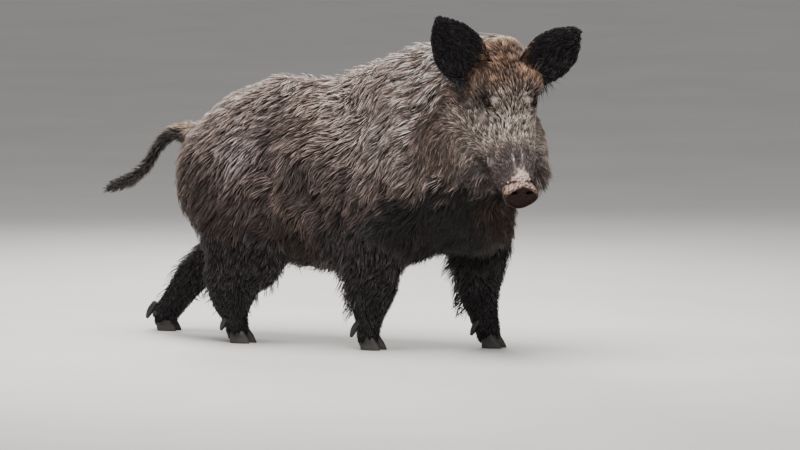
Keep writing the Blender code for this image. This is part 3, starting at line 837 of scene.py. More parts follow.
# The ham is darker, partly in its own colour and partly as painted shade.
dark_ham = mound(back, height, (0.32, 0.42), 0.13) * share["trunk"] * side_on
coat.mark(dark_ham, tone(92, 79, 74), tips_share=0.65)
coat.mark(rump_edge, tone(170, 130, 100), tips_share=0.65)
coat.mark(rusty, tone(70, 50, 42), tone(20, 13, 11))
# Painted highlights over the hip, ribs and nape, painted shade over the loin, flank and groin, and a painted
# highlight along the low fold of the flank.
gain = sum(strength * mound(back, height, place, size) for place, size, strength in PAINTED_LIGHT_AND_SHADE.values())
gain += peak(off_line(np.stack([back, height], axis=1), LOW_FOLD_HIGHLIGHT), 0, 0.018)
coat.lighten(gain * np.clip(side_on + share["neck"], 0, 1))
coat.mark(legs_and_chest, tone(98, 90, 94), tone(13, 11, 13))
# The chest's hair is black, and its tips are darker still than the legs' as painted shade under the head and
# neck.
coat.mark(chest, tone(24, 20, 21), tone(9, 7, 8), tips_share=0.9)
breastbone = chest * ease(normal[:, 1], -0.50, -0.85) * ease(height, 0.29, 0.35)
coat.mark(breastbone, tone(100, 77, 66), tone(24, 17, 15), tips_share=0.65, roots_share=0.65)
print("black hair covers", round(100 * float(legs_and_chest.mean())), "% of the hide's points")

# %% [markdown]
# A boar is known by its face. The crown is pale and the brow warm, with painted shade across its right
# half, the bridge of the nose is frosted, and the muzzle is slate with two pale streaks. A pale line, the
# ruff, parts muzzle from cheek.

# %% Colour of the head
crown = head_share * ease(down_face, -0.164, -0.194) * ease(out_face, -0.14, -0.06)
brow = head_share * ease(down_face, -0.005, -0.055) * ease(out_face, -0.080, -0.030)
furrow = brow * peak(down_face, -0.070, 0.040) * ease(sideways, 0.05, 0.0)
temple = head_share * ease(out_face, -0.05, -0.10) * ease(down_face, 0.03, -0.02)
BRIDGE_AT = 0.086
bridge_half = np.where(down_face < BRIDGE_AT, 0.068, 0.052)
bridge = peak(down_face, BRIDGE_AT, bridge_half) * ease(out_face, -0.105, -0.030) * head_share
bridge *= np.clip(0.78 + 0.22 * ripple(points, 0.035, 17), 0, 1)
slate = head_share * ease(down_face, 0.120, 0.155)
frost = mound(np.abs(sideways), down_face, (0.098, 0.105), 0.036) * head_share * ease(out_face, -0.16, -0.09)
streaks = sum(peak(sideways, side * 0.013, 0.0024) for side in SIDES.values())
streaks = np.clip(streaks * ease(down_face, 0.135, 0.16) * ease(out_face, -0.05, -0.02) * head_share, 0, 1)
dark_jaw = share["lower_jaw"] * ease(down_face, 0.10, 0.04)

coat.mark(head_share, tone(170, 147, 136), tone(46, 36, 33))
coat.mark(temple, tone(120, 102, 92), tone(32, 25, 22))
coat.mark(brow, tone(180, 138, 109), tone(44, 30, 24))
# Painted shade across the right half of the brow.
coat.lighten(-0.40 * furrow)
coat.mark(crown, tone(255, 216, 176), tips_share=0.95)
coat.mark(bridge, 1.4 * tone(255, 237, 217), tone(56, 46, 42), tips_share=0.95, roots_share=0.8)
coat.mark(slate, tone(134, 118, 115), tone(42, 35, 35))
coat.mark(frost, tone(244, 226, 212), tips_share=0.55)
coat.mark(streaks, tone(220, 206, 200), tone(150, 134, 128), roots_share=0.5)
coat.mark(dark_jaw, tone(142, 129, 127), tone(38, 33, 33), tips_share=0.6, roots_share=0.6)

# %% Colour round the eyes
bare_lids = np.zeros(net.count)
for side_name in EYES:
    _, far, ahead, ring = lid_place(points, side_name)
    beside = SIDES[side_name] * sideways
    inner = peak(beside, 0.046, 0.008) * peak(down_face, 0.004, 0.015) * ease(out_face, -0.02, 0.0)
    below = peak(beside, 0.074, 0.020) * peak(down_face, 0.036, 0.020) * ease(out_face, -0.085, -0.050)
    pale_skin = np.clip(1.3 * inner + below, 0, 1) * ease(ring, 1.35, 1.75)
    coat.mark(pale_skin, tone(206, 192, 186), tone(130, 116, 112))
    bare_lids = np.maximum(bare_lids, pale_skin)
    socket = ease(ring, 1.6, 1.15) * ease(ahead, 0.0, 0.3) * ease(far, 0.022, 0.017)
    coat.mark(socket, tone(40, 30, 27), tone(17, 11, 10))
print("pale skin at", int((bare_lids > 0.5).sum()), "points round the eyes")


# %% [markdown]
# The bare skin of the disc runs up on to the nose as a wedge, cracked across and scurfy. It is the one
# place where the hide itself is rough, so its points are moved and not only its colour.

# %% The bare wedge of the nose
WEDGE_DOWN, WEDGE_HALF = (0.196, 0.222, 0.244), (0.002, 0.019, 0.044)
spread = np.interp(down_face, WEDGE_DOWN, WEDGE_HALF) + 0.004 * ripple(points, 0.011, 34)
bare_nose = ease(spread - np.abs(sideways - 0.003), -0.003, 0.003) * ease(down_face, 0.190, 0.204)
bare_nose *= ease(out_face, -0.055, -0.030) * head_share
crumbs = ripple(points, 0.007, 31)
cracks = np.sin(down_face * 900)
points += normal * (bare_nose * (0.0015 * crumbs + 0.0008 * cracks))[:, None]
print("bare skin of the nose at", int((bare_nose > 0.5).sum()), "points")

# %% Colour of the muzzle
RUFF = [(0.140, 0.0, -0.089), (0.158, 0.051, -0.126), (0.174, 0.092, -0.164)]
ruff_line = np.zeros(net.count)
for side in SIDES.values():
    on_side = np.stack([side * sideways, down_face, out_face], axis=1)
    ruff_line = np.maximum(ruff_line, peak(off_line(on_side, RUFF), 0, 0.009))
painted_light_far_jowl = ease(sideways, 0.055, 0.095) * ease(down_face, 0.0, 0.05) * (head_share + share["lower_jaw"])
painted_lip_shadow = peak(down_face, 0.160, 0.022) * peak(out_face, -0.080, 0.014) * head_share
lip_grey = np.clip(lip_bulge, 0, 1)
crust = ease(crumbs, -0.6, 0.8)[:, None]

coat.mark(ruff_line, 1.2 * tone(255, 240, 218))
# Painted light: the left jowl's tips are made paler to stand in for light on that side of the head.
coat.lighten(0.7 * np.clip(painted_light_far_jowl, 0, 1))
# Painted shadow behind the swell of the lip.
coat.mark(painted_lip_shadow, tone(46, 40, 40), tone(16, 13, 13), tips_share=0.5, roots_share=0.7)
coat.mark(lip_grey, tone(172, 164, 164), tone(104, 96, 96), tips_share=0.9, roots_share=0.7)
coat.mark(mouth_line, tone(44, 38, 38), tone(18, 15, 15), tips_share=0.5)
coat.mark(bare_nose, tone(236, 214, 204), tone(82, 58, 52) * (1 - crust) + tone(222, 190, 177) * crust)

# %% Colour of the ears and tail
below_ear = np.zeros(net.count)
for ear in EARS:
    spots = get_array(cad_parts[ear].data.vertices, "co", 3)
    lowest = spots[spots[:, 2].argsort()[:20]].mean(axis=0)
    below_ear = np.maximum(below_ear, peak(distance(points, lowest), 0, 0.028))
hanging = along_surface(np.array((0.0, 0.0, -1.0)) + 0 * points, normal)
lie = unit(dye(lie, np.clip(1.6 * below_ear, 0, 1), hanging))
inner_ear = ear_share * ease(normal @ np.array(LEVEL), 0.1, 0.5)
ear_black = ease(ear_share, 0.06, 0.42)
ear_rim = ear_share * ease(np.linalg.norm(net.soften(normal, 3), axis=1), 0.92, 0.65)
ear_foot = ear_black * ease(np.abs(sideways), 0.074, 0.060)
tail_top = share["tail"] * ease(back, 0.585, 0.520) * ease(normal[:, 2], 0.30, 0.85)
tail_brush = share["tail"] * ease(back, 0.655, 0.70)

coat.mark(below_ear, tone(58, 52, 54), tone(16, 14, 15), tips_share=0.8, roots_share=0.8)
coat.mark(ear_black, tone(46, 43, 46), tone(14, 13, 15))
coat.mark(np.maximum(inner_ear, ear_rim), tone(112, 106, 113), tips_share=0.8)
coat.mark(ear_foot, tone(215, 176, 142), tone(44, 30, 24))
coat.mark(share["tail"], tone(88, 77, 74), tone(25, 21, 21))
coat.mark(tail_top, tone(255, 226, 192), tone(92, 72, 58))
coat.mark(tail_brush, tone(44, 38, 36))
for end, colours in (("tips", coat.tips), ("roots", coat.roots)):
    print("mean of the", end, [round(float(v), 3) for v in colours.mean(axis=0)])


# %% [markdown]
# ## Finish of the hide
# Under the hair the hide is dark, with a felt of underwool. It takes the root colours as a colour
# attribute, so that the same shader works for the whole body, and a fine noise stands for the wool in its
# bump.


# %% Put the hide in place
def colour_points(mesh, colours):
    """Writes one colour to each point of a mesh."""
    layer = mesh.color_attributes.new("tint", "FLOAT_COLOR", "POINT")
    rows = np.ones((len(colours), 4), np.float32)
    rows[:, :3] = np.clip(colours, 0, 1)
    layer.data.foreach_set("color", rows.ravel())


def attribute_colour(start, name):
    """The colour attribute of that name, as a term."""
    return start.term(start.node("ShaderNodeAttribute", {"attribute_name": name}).outputs["Color"])


def felt_finish():
    """Underwool: root colours, freckled, with a short soft nap."""
    material, shader, start = new_material("underwool", Roughness=0.9, Specular_IOR_Level=0.2)
    nap = grain(start, 420, 5, 0.65)
    fleck = nap.step(0.35, 0.7)
    colour = attribute_colour(start, "tint")
    feed(fleck.blend(colour.stained(0.55, (0.35, 0.33, 0.33, 1)), colour), shader, "Base Color")
    feed(0.8 + 0.15 * fleck, shader, "Roughness")
    feed(bump(start, nap, 0.6, 0.0012), shader, "Normal")
    return material


def thin_out(obj, ratio):
    """Leaves that share of an object's triangles."""
    fewer = obj.modifiers.new("fewer", "DECIMATE")
    fewer.ratio = ratio
    apply_modifiers(obj)


def smooth(mesh):
    """Shades every face of a mesh smooth."""
    mesh.polygons.foreach_set("use_smooth", np.ones(len(mesh.polygons), bool))


net.save()
bare = np.clip(bare_nose + muzzle * 0.35 + lip_grey + bare_lids, 0, 1)
colour_points(hide.data, dye(coat.roots * 0.9, bare, coat.roots * 0.5 + coat.tips * 0.5))
UNDER_FUR = 0.62
thin_out(hide, UNDER_FUR)
hide.data.name = "hide"
hide.data.materials.append(felt_finish())
smooth(hide.data)
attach(hide, "root")
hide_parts(*FLESH)
print("hide as placed:", len(hide.data.polygons), "triangles")


# %% [markdown]
# ## The coat
# Particle hair is lost when a model leaves Blender, so each tuft here is a real solid: a thin three-sided
# blade, rooted in the hide, that rises to the depth of the coat, bends over and tapers to a point. A tuft
# walks along the hide in short steps, and at each one it asks the nearest point of the hide which way to go
# and how high to float, so that it hugs the body round every bend. Wet, wavy winter hair gathers in locks.
# Tufts that share a lock lean together, wave together and are tinted alike, and it is the shadow between
# two locks that makes the coat look deep. Length, width and stand are in metres: bristles of 4 to 5 cm on
# the body, and of 1 to 2 cm on the face.

# %% Length, width and stand of the hair at each place
length = 0.044 * share["trunk"] + 0.047 * share["neck"] + 0.014 * ear_share + 0.024 * share["tail"]
length += head_share * (0.019 + 0.020 * cheek + 0.005 * forehead - 0.010 * muzzle)
length += leg_share * (0.023 - 0.010 * low_leg)
length += (0.010 * belly - 0.007 * haunch) * share["trunk"] + 0.012 * topline * share["neck"]
length *= 1 + 0.16 * np.clip(ripple(points, 0.08, 21), -1.5, 1.5)
length *= (0.25 + 0.75 * ease(eye_reach, 0.015, 0.034)) * (1 - 0.6 * bare_lids)
length *= 0.45 + 0.55 * ease(snout_reach, 0.045, 0.075)
width = 0.0019 * share["trunk"] + 0.0022 * share["neck"] + 0.0012 * ear_share + 0.0022 * share["tail"]
width += head_share * (0.0015 + 0.0005 * cheek - 0.0004 * muzzle) + leg_share * (0.0021 - 0.0007 * low_leg)
stand = depth * (1.02 - 0.5 * ear_share + 0.7 * share["tail"]) + 0.012 * ruff_line
stand = net.soften(np.maximum(stand, 0.0010), 2)
stand += 0.006 * share["tail"] * ease(back, 0.60, 0.66)
curl = (share["trunk"] + 0.8 * share["neck"] + 0.15 * leg_share * (1 - low_leg) + 0.3 * head_share * cheek)
curl *= (1 - 0.6 * hump) * (1 - 0.5 * haunch)
print("hair lengths, millimetres:", [round(float(v) * 1000) for v in np.percentile(length, (1, 50, 99))])


# %% [markdown]
# Over a hundred thousand tufts can't be unwrapped one by one, and they needn't be. The unwrap for the baked
# colours comes from a light copy of the hide. Every tuft gets a small patch of its own at its root's place
# on that unwrap, so that neighbours on the body are neighbours on the map.


# %% An unwrap of the hide's own shape
def unwrapped_copy(obj, ratio):
    """A light, unwrapped copy of an object as a search tree, its corners, and their places on the map."""
    copy = in_scene("unwrap", obj.data.copy())
    thin_out(copy, ratio)
    mesh = copy.data
    bpy.context.view_layer.objects.active = copy
    copy.select_set(True)
    bpy.ops.object.mode_set(mode="EDIT")
    bpy.ops.mesh.select_all(action="SELECT")
    bpy.ops.uv.smart_project(angle_limit=math.radians(66), island_margin=0.004)
    bpy.ops.object.mode_set(mode="OBJECT")
    spots = get_array(mesh.vertices, "co", 3)
    mesh.calc_loop_triangles()
    faces = get_array(mesh.loop_triangles, "vertices", 3, np.int32)
    loops = get_array(mesh.loop_triangles, "loops", 3, np.int32)
    flat = get_array(mesh.uv_layers.active.data, "uv", 2)
    tree = BVHTree.FromPolygons(spots.tolist(), faces.tolist())
    bpy.data.objects.remove(copy)
    bpy.data.meshes.remove(mesh)
    return tree, spots[faces], flat[loops]


def map_places(roots, unwrap):
    """Where each root lies on the unwrap."""
    tree, corners, flat = unwrap
    hit = np.array([tree.find_nearest(root)[2] for root in roots.tolist()])
    a, b, c = corners[hit, 0], corners[hit, 1], corners[hit, 2]
    whole = np.cross(b - a, c - a)
    size = np.maximum((whole**2).sum(axis=1), 1e-18)
    second = (np.cross(roots - a, c - a) * whole).sum(axis=1) / size
    third = (np.cross(b - a, roots - a) * whole).sum(axis=1) / size
    weights = np.clip(np.stack([1 - second - third, second, third], axis=1), 0, 1)
    return (flat[hit] * weights[:, :, None]).sum(axis=1)


unwrap = unwrapped_copy(hide, 0.08)
print("unwrap has", len(unwrap[1]), "triangles")


# %% [markdown]
# ## Growing one region
# A region scatters its roots evenly over its share of the hide, finds each root's lock, walks the tufts and
# builds all of them into one mesh. It is written once, and the body, face, legs, ears and tail then differ
# only in numbers. The dice are seeded, so the same coat grows every time.

# %% Places on the hide
hide_tree = KDTree(net.count)
for index, point in enumerate(points.tolist()):
    hide_tree.insert(point, index)
hide_tree.balance()


def nearest_points(spots):
    """The index of the hide's nearest point to each spot."""
    find = hide_tree.find
    return np.array([find(spot)[1] for spot in spots.tolist()])


def scatter(weights, count, dice):
    """Roots on the hide's triangles, as many to each square centimetre as its weight says."""
    corners = points[net.triangles]
    area = np.linalg.norm(np.cross(corners[:, 1] - corners[:, 0], corners[:, 2] - corners[:, 0]), axis=1)
    chance = np.cumsum(area * weights[net.triangles].mean(axis=1))
    picks = np.searchsorted(chance, (np.arange(count) + dice.uniform(0, 1, count)) / count * chance[-1])
    picks = np.minimum(picks, len(corners) - 1)
    mix = dice.dirichlet((1, 1, 1), count)
    roots = (corners[picks] * mix[:, :, None]).sum(axis=1)
    return roots, net.triangles[picks], mix


def read_at(values, corner_index, mix):
    """A value of the hide at each root, from the three corners round it."""
    found = values[corner_index]
    return (found * (mix[:, :, None] if values.ndim > 1 else mix)).sum(axis=1)


# %% Locks
def choose_locks(roots, locks, dice):
    """Picks that share of the roots as lock centres, and gives each root its lock and its offset to it."""
    count = max(int(len(roots) * locks), 1)
    centres = dice.choice(len(roots), count, replace=False)
    tree = KDTree(count)
    for index, root in enumerate(roots[centres].tolist()):
        tree.insert(root, index)
    tree.balance()
    lock = np.array([tree.find(root)[1] for root in roots.tolist()])
    return lock, roots[centres][lock] - roots


# %% [markdown]
# A tuft is a path before it is a shape. Straight blades laid on the hide would stick out at every bend, so
# each path is walked. While a tuft is near the hide it is held to it, and it rises in an arch, fast at the
# root and flat at the tip. Loose hair is let go, keeps its own direction and sinks by its weight.

# %% Walk the tufts
ROOT_DEPTH = 0.0012
HELD_WITHIN, HOLD_FADES = 0.004, 0.012
WEIGHT = 0.35
ARCH = 1.9


def walk(roots, normal_at, lie_at, long, high, free, steps):
    """The path of each tuft: steps + 1 rows of points and of normals, floating over the hide as it goes.

    A free tuft is let go by the hide, and sinks by its own weight instead."""
    path, normals = [roots - normal_at * ROOT_DEPTH], [normal_at]
    direction = lie_at
    here = roots
    for k in range(1, steps + 1):
        ahead = here + direction * (long / steps)[:, None]
        near = nearest_points(ahead)
        out = normal[near]
        above = ((ahead - points[near]) * out).sum(axis=1)
        settle = (1 - free) * peak(np.maximum(np.abs(above) - HELD_WITHIN, 0), 0, HOLD_FADES)
        here = ahead - out * (above * settle)[:, None]
        out = unit(out * settle[:, None] + normals[-1] * (1 - settle)[:, None])
        risen = 1 - (1 - k / steps) ** ARCH
        path.append(here + out * (high * risen)[:, None])
        normals.append(out)
        pull = np.stack([0 * free, 0 * free, -WEIGHT * free], axis=1)
        direction = unit(lie[near] * settle[:, None] + direction * (1.6 - settle)[:, None] + pull)
    return np.stack(path, axis=1), np.stack(normals, axis=1)


# %% [markdown]
# Three sides are the fewest that a closed blade can have, and at this size nobody misses a fourth. The blade
# is widest near the root or a little above it, and runs out to a single point, as a bristle does.

# %% Build the blades
def blades(path, normals, breadth, thickness, taper):
    """Points and faces of three-sided blades along the paths, closed at the root and pointed at the tip."""
    count, rows = path.shape[:2]
    ahead = np.empty_like(path)
    ahead[:, 1:-1] = path[:, 2:] - path[:, :-2]
    ahead[:, 0], ahead[:, -1] = path[:, 1] - path[:, 0], path[:, -1] - path[:, -2]
    ahead = unit(ahead)
    across = unit(np.cross(ahead, normals))
    above = np.cross(across, ahead)
    half = (breadth[:, None] * taper[None, :] / 2)[:, :, None]
    lift = (thickness[:, None] * taper[None, :])[:, :, None]
    rings = np.stack([path - across * half, path + across * half, path + above * lift], axis=2)[:, :-1]
    stride = (rows - 1) * 3 + 1
    spots = np.empty((count, stride, 3))
    spots[:, :-1] = rings.reshape(count, -1, 3)
    spots[:, -1] = path[:, -1]
    quads, caps = [], [(0, 1, 2)]
    for row in range(rows - 2):
        for k in range(3):
            a, b = row * 3 + k, row * 3 + (k + 1) % 3
            quads.append((a, a + 3, b + 3, b))
    last = (rows - 2) * 3
    for k in range(3):
        caps.append((last + k, stride - 1, last + (k + 1) % 3))
    base = np.arange(count)[:, None, None] * stride
    quads, caps = (base + np.array(quads)).reshape(-1, 4), (base + np.array(caps)).reshape(-1, 3)
    return spots.reshape(-1, 3), quads, caps


PATCH = 0.003


def mesh_from_arrays(name, spots, quads, tris):
    """A mesh from plain arrays, quads first."""
    mesh = bpy.data.meshes.new(name)
    mesh.vertices.add(len(spots))
    mesh.vertices.foreach_set("co", spots.astype(np.float32).ravel())
    corners = np.concatenate([quads.ravel(), tris.ravel()]).astype(np.int32)
    starts = np.concatenate([np.arange(len(quads)) * 4, quads.size + np.arange(len(tris)) * 3])
    mesh.loops.add(len(corners))
    mesh.loops.foreach_set("vertex_index", corners)
    mesh.polygons.add(len(starts))
    mesh.polygons.foreach_set("loop_start", starts.astype(np.int32))
    mesh.update(calc_edges=True)
    mesh.validate()
    smooth(mesh)
    return mesh


def patch_map(mesh, places, steps):
    """The OFBake map: each tuft is a small patch at its root's place, its length up one side of it."""
    up = np.append(np.repeat(np.arange(steps), 3), steps) / steps
    side = np.append(np.tile([0.0, 1.0, 0.5], steps), 0.5)
    local = (np.stack([side, up], axis=1) - 0.5) * PATCH
    flat = (places[:, None, :] + local[None]).reshape(-1, 2)
    corners = get_array(mesh.loops, "vertex_index", 1, np.int32)
    layer = mesh.uv_layers.new(name="OFBake")
    layer.data.foreach_set("uv", flat[corners].astype(np.float32).ravel())


# %% [markdown]
# Bristle is glossy along its length but a coat is never clean, so flecks of dust dull it here and there.
# The black hair of the legs and ears is smoother than the rest. Colour comes from each tuft's own tint.

# %% Finish of the hair
def hair_finish(name, roughness, sheen, dusty):
    """Coarse bristle: the tint of each tuft, a few dull flecks of dust, and a satin gloss along it."""
    material, shader, start = new_material(
        name, Specular_IOR_Level=0.28, Sheen_Weight=sheen, Sheen_Roughness=0.5
    )
    colour = attribute_colour(start, "tint")
    dust = grain(start, 90, 3, 0.6).step(0.45, 0.75)
    fine = grain(start, 700, 2, 0.5)
    worn = (dusty * dust).blend(colour, (0.16, 0.135, 0.12, 1))
    feed((0.35 * fine).blend(worn, (0.02, 0.016, 0.015, 1)), shader, "Base Color")
    feed(roughness + 0.18 * dust, shader, "Roughness")
    feed(bump(start, fine, 0.35, 0.0004), shader, "Normal")
    return material


HAIR = {
    "coat": hair_finish("winter_bristle", roughness=0.52, sheen=0.04, dusty=0.10),
    "leg_coat": hair_finish("black_bristle", roughness=0.42, sheen=0.02, dusty=0.05),
}


# %% [markdown]
# Everything random about a coat is either shared by a lock or a tuft's own. A region keeps its roots, its
# locks and its dice together, so that either kind is one short call.

# %% The roots of one region
class Region:
    """The roots of one piece of the coat, their locks, and the dice that make no two tufts alike."""

    def __init__(self, weights, triangles, steps, locks, seed):
        self.dice = np.random.default_rng(seed)
        self.steps = steps
        self.shares = np.arange(steps + 1) / steps
        self.count = int(triangles / (6 * (steps - 1) + 4))
        self.roots, self.corners, self.mix = scatter(weights, self.count, self.dice)
        self.normal = unit(self.at(normal))
        self.lie = along_surface(self.at(lie), self.normal)
        self.lock, self.to_lock = choose_locks(self.roots, locks, self.dice)

    def at(self, values):
        """A value of the hide at each root."""
        return read_at(values, self.corners, self.mix)

    def each_lock(self, low, high):
        """A random value for each lock, given to all of its tufts."""
        return self.dice.uniform(low, high, self.lock.max() + 1)[self.lock]

    def each_tuft(self, low, high):
        """A random value for each tuft."""
        return self.dice.uniform(low, high, self.count)


# %% The shape of its tufts
BLADE_THICKNESS = 0.42
TAPERS = {2: (0.9, 0.8, 0.0), 3: (0.82, 1.0, 0.85, 0.0)}
LOCK_TURN, TUFT_TURN = 0.22, 0.10
LET_GO = 0.92
WAVE_DEPTH, WAVE_RUN = 0.075, 5.2


def tuft_blades(region, clump, wild, loose):
    """Points and faces of all the tufts of a region."""
    spin = region.each_lock(-LOCK_TURN, LOCK_TURN)
    spin += region.dice.normal(0, TUFT_TURN + wild * 0.3, region.count)
    across = np.cross(region.normal, region.lie)
    lean = unit(region.lie * np.cos(spin)[:, None] + across * np.sin(spin)[:, None])
    long_at, wide_at, lean_at = loose if loose else (length, width, 0 * length)
    long = region.at(long_at) * region.each_lock(0.8, 1.2) * region.each_tuft(0.75, 1.15)
    lean = unit(lean + region.normal * region.at(lean_at)[:, None])
    free = np.full(region.count, LET_GO if loose else 0.0)
    high = region.at(stand) * region.each_lock(0.55, 1.20) * region.each_tuft(0.60, 1.15) * (1 + wild)
    high = np.minimum(high, long * 0.75) * (1 - free)
    breadth = region.at(wide_at) * region.each_tuft(0.75, 1.2)
    path, normals = walk(region.roots, region.normal, lean, long, high, free, region.steps)
    gather = region.to_lock - region.normal * (region.to_lock * region.normal).sum(axis=1, keepdims=True)
    path += gather[:, None, :] * (clump * region.shares**1.4)[None, :, None]
    wave = region.at(curl) * region.each_lock(0.4, 1.3) * long * WAVE_DEPTH
    start_turn = region.each_lock(0, 6.28)[:, None]
    turns = start_turn + region.shares[None] * WAVE_RUN * region.each_lock(0.8, 1.2)[:, None]
    swing = np.sin(turns) * region.shares[None] ** 0.7
    path += np.cross(region.normal, lean)[:, None, :] * (wave[:, None] * swing)[:, :, None]
    return blades(path, normals, breadth, breadth * BLADE_THICKNESS, np.array(TAPERS[region.steps]))


# %% The tint of its tufts
def tuft_tints(region, seed):
    """One colour for each point of each tuft: dark at the root, pale at the tip, save for the dark hairs."""
    shade = region.each_lock(0.60, 1.36) * region.each_tuft(0.50, 1.55)
    shade *= 1 + 0.16 * ripple(region.roots, 0.035, seed + 50)
    streaky = region.at(1.2 + 0.6 * share["neck"] + 0.35 * head_share)
    pale = region.at(coat.tips) * (shade**streaky)[:, None]
    dark = region.at(coat.roots) * region.each_tuft(0.7, 1.3)[:, None]
    is_dark = region.each_tuft(0, 1) < region.at(0.34 - 0.20 * bridge + 0.16 * share["neck"])
    grizzle = np.where(is_dark, region.each_tuft(0.0, 0.30), region.each_tuft(0.65, 1.0))
    rise = (region.shares**0.85)[None, :] * grizzle[:, None]
    colours = dark[:, None, :] * (1 - rise)[:, :, None] + pale[:, None, :] * rise[:, :, None]
    rows = np.append(np.repeat(np.arange(region.steps), 3), region.steps)
    return colours[:, rows].reshape(-1, 3)


# %% Grow a region
def grow(name, weights, triangles, slot, steps=3, locks=0.24, clump=0.4, seed=1, wild=0.0, loose=None):
    """One piece of the coat: as many tufts as its triangles allow, on the hide where its weights say.

    Loose hair is given as three values at each point: its length, its width, and how steeply it leaves
    the hide. It hangs free after that."""
    region = Region(weights, triangles, steps, locks, seed)
    spots, quads, tris = tuft_blades(region, clump, wild, loose)
    mesh = mesh_from_arrays(name, spots, quads, tris)
    patch_map(mesh, map_places(region.roots, unwrap), steps)
    colour_points(mesh, tuft_tints(region, seed))
    mesh.materials.append(HAIR[slot])
    piece = in_scene(name, mesh)
    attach(piece, "root")
    print(name, region.count, "tufts,", len(quads) * 2 + len(tris), "triangles")


# %% [markdown]
# ## The regions
# Nine pieces lie on the animal. Their edges cross inside each other's soft shares, so that no line shows
# where one ends. Body hair is coarse and long, the face and feet have the smallest tufts, and the ears and
# tail share a piece. Each piece stays under two hundred thousand triangles, so that it can be handled on
# its own.

# %% Body
FULL = 190000
shoulders, haunches = ease(back, -0.10, -0.24), ease(back, 0.10, 0.24)
flanks = ease(back, -0.24, -0.10) * ease(back, 0.24, 0.10)
grow("coat_shoulders", share["trunk"] * shoulders, FULL, "coat", seed=101)
grow("coat_flanks", share["trunk"] * flanks, FULL, "coat", seed=102)
grow("coat_haunches", share["trunk"] * haunches, FULL, "coat", seed=103)
grow("coat_neck", share["neck"], FULL, "coat", seed=104)

# %% Face
bald = np.clip(bare_nose * 0.7 + mouth_line * 0.5 + lip_grey * 0.7 + bare_lids * 0.7, 0, 1)
for side_name in EYES:
    _, far, ahead, ring = lid_place(points, side_name)
    bald = np.maximum(bald, ease(ring, 1.65, 1.35) * ease(far, 0.020, 0.0165) * ease(ahead, -0.1, 0.1))
face_weight = head_share * (1 - bald) * (1 + 0.8 * muzzle)
FINE = {"steps": 2, "locks": 0.12}
grow("coat_face", face_weight * (1 - cheek), 165000, "coat", **FINE, clump=0.35, wild=0.06, seed=105)
grow("coat_cheeks", face_weight * cheek, 130000, "coat", **FINE, clump=0.45, wild=0.05, seed=110)

# %% Legs, ears and tail
fore_share = share["foreleg_right"] + share["foreleg_left"]
hind_share = share["hind_leg_right"] + share["hind_leg_left"]
leg_weight = (1 + 0.5 * low_leg) * ease(height, 0.012, 0.035)
SHANK = {"steps": 2, "locks": 0.14, "clump": 0.25}
grow("coat_forelegs", fore_share * leg_weight, 115000, "leg_coat", **SHANK, seed=106)
grow("coat_hind_legs", hind_share * leg_weight, 120000, "leg_coat", **SHANK, seed=107)
grow("coat_ears_tail", ear_share + 0.8 * share["tail"], 85000, "leg_coat", **FINE, clump=0.3, seed=108)

# %% [markdown]
# ## Loose hair
# What makes the outline shaggy is the hair that doesn't lie down: feathering behind the forearms and on the
# front of the thighs, a beard under the chin, the breast, the rump's edge, the hair along the spine, the
# long hair in and below the ears and the brush of the tail. These leave the hide steeply and then hang by
# their own weight. All of it is one more piece, because no zone of it is large.

# %% Where the loose hair grows
under = ease(normal[:, 2], -0.45, -0.85)
forearm = fore_share * ease(normal[:, 1], 0.15, 0.65) * ease(height, 0.09, 0.15) * ease(height, 0.38, 0.30)
stifle = hind_share * ease(np.abs(normal[:, 1]), 0.35, 0.75) * ease(height, 0.08, 0.16)
breast = share["trunk"] * under * (0.35 + 0.65 * ease(back, 0.05, -0.15))
throat = body_share * ease(back, -0.36, -0.42) * ease(height, 0.46, 0.40) * (1 - head_share) * chest
beard = head_share * ease(down_face, 0.10, 0.16) * ease(out_face, -0.08, -0.13)
rump = share["trunk"] * ease(back, 0.42, 0.46) * 0.7
brush = share["tail"] * (0.4 + 0.6 * ease(back, 0.62, 0.68)) + 2.0 * tail_top
crest = head_share * ease(down_face, -0.12, -0.17) * ease(out_face, -0.12, -0.03)
spine = ease(start_normal[:, 2], 0.72, 0.93) * body_share

# %% Grow the loose hair
# Each zone: where it is, how dense its hair is, its length and width in metres, and how steeply it stands.
ZONES = [
    (forearm, 1.6, 0.050, 0.0024, 0.9),
    (stifle, 0.8, 0.036, 0.0022, 0.8),
    (breast, 0.8, 0.045, 0.0026, 0.8),
    (throat, 0.8, 0.045, 0.0024, 0.6),
    (beard, 3.6, 0.040, 0.0018, 0.7),
    (rump, 0.8, 0.034, 0.0024, 0.7),
    (inner_ear, 0.9, 0.024, 0.0011, 0.5),
    (brush, 1.6, 0.026, 0.0020, 0.45),
    (crest, 1.0, 0.016, 0.0015, 1.4),
    (ruff_line, 4.0, 0.034, 0.0015, 0.5),
    (spine, 0.9, 0.024, 0.0015, 1.1),
    (ear_rim, 3.0, 0.013, 0.0009, 0.15),
    (below_ear, 5.0, 0.052, 0.0013, 0.5),
]
density = sum(zone * dense for zone, dense, *_ in ZONES)
total = np.maximum(sum(zone for zone, *_ in ZONES), 1e-6)
loose = tuple(sum(zone * row[k] for zone, *row in ZONES) / total for k in (1, 2, 3))
grow("coat_loose", density, 130000, "coat", locks=0.14, clump=0.5, seed=109, wild=0.3, loose=loose)


# %% [markdown]
# ## Eyes
# A boar's eye is small, dark brown and wet. The globe keeps the carved one's place and size, with a cornea
# that swells over the iris, because the highlight of a lamp sits on that swell. The brown fades into a
# black pupil in the middle and into a black ring at the edge, and a clear coat gives the tear film.


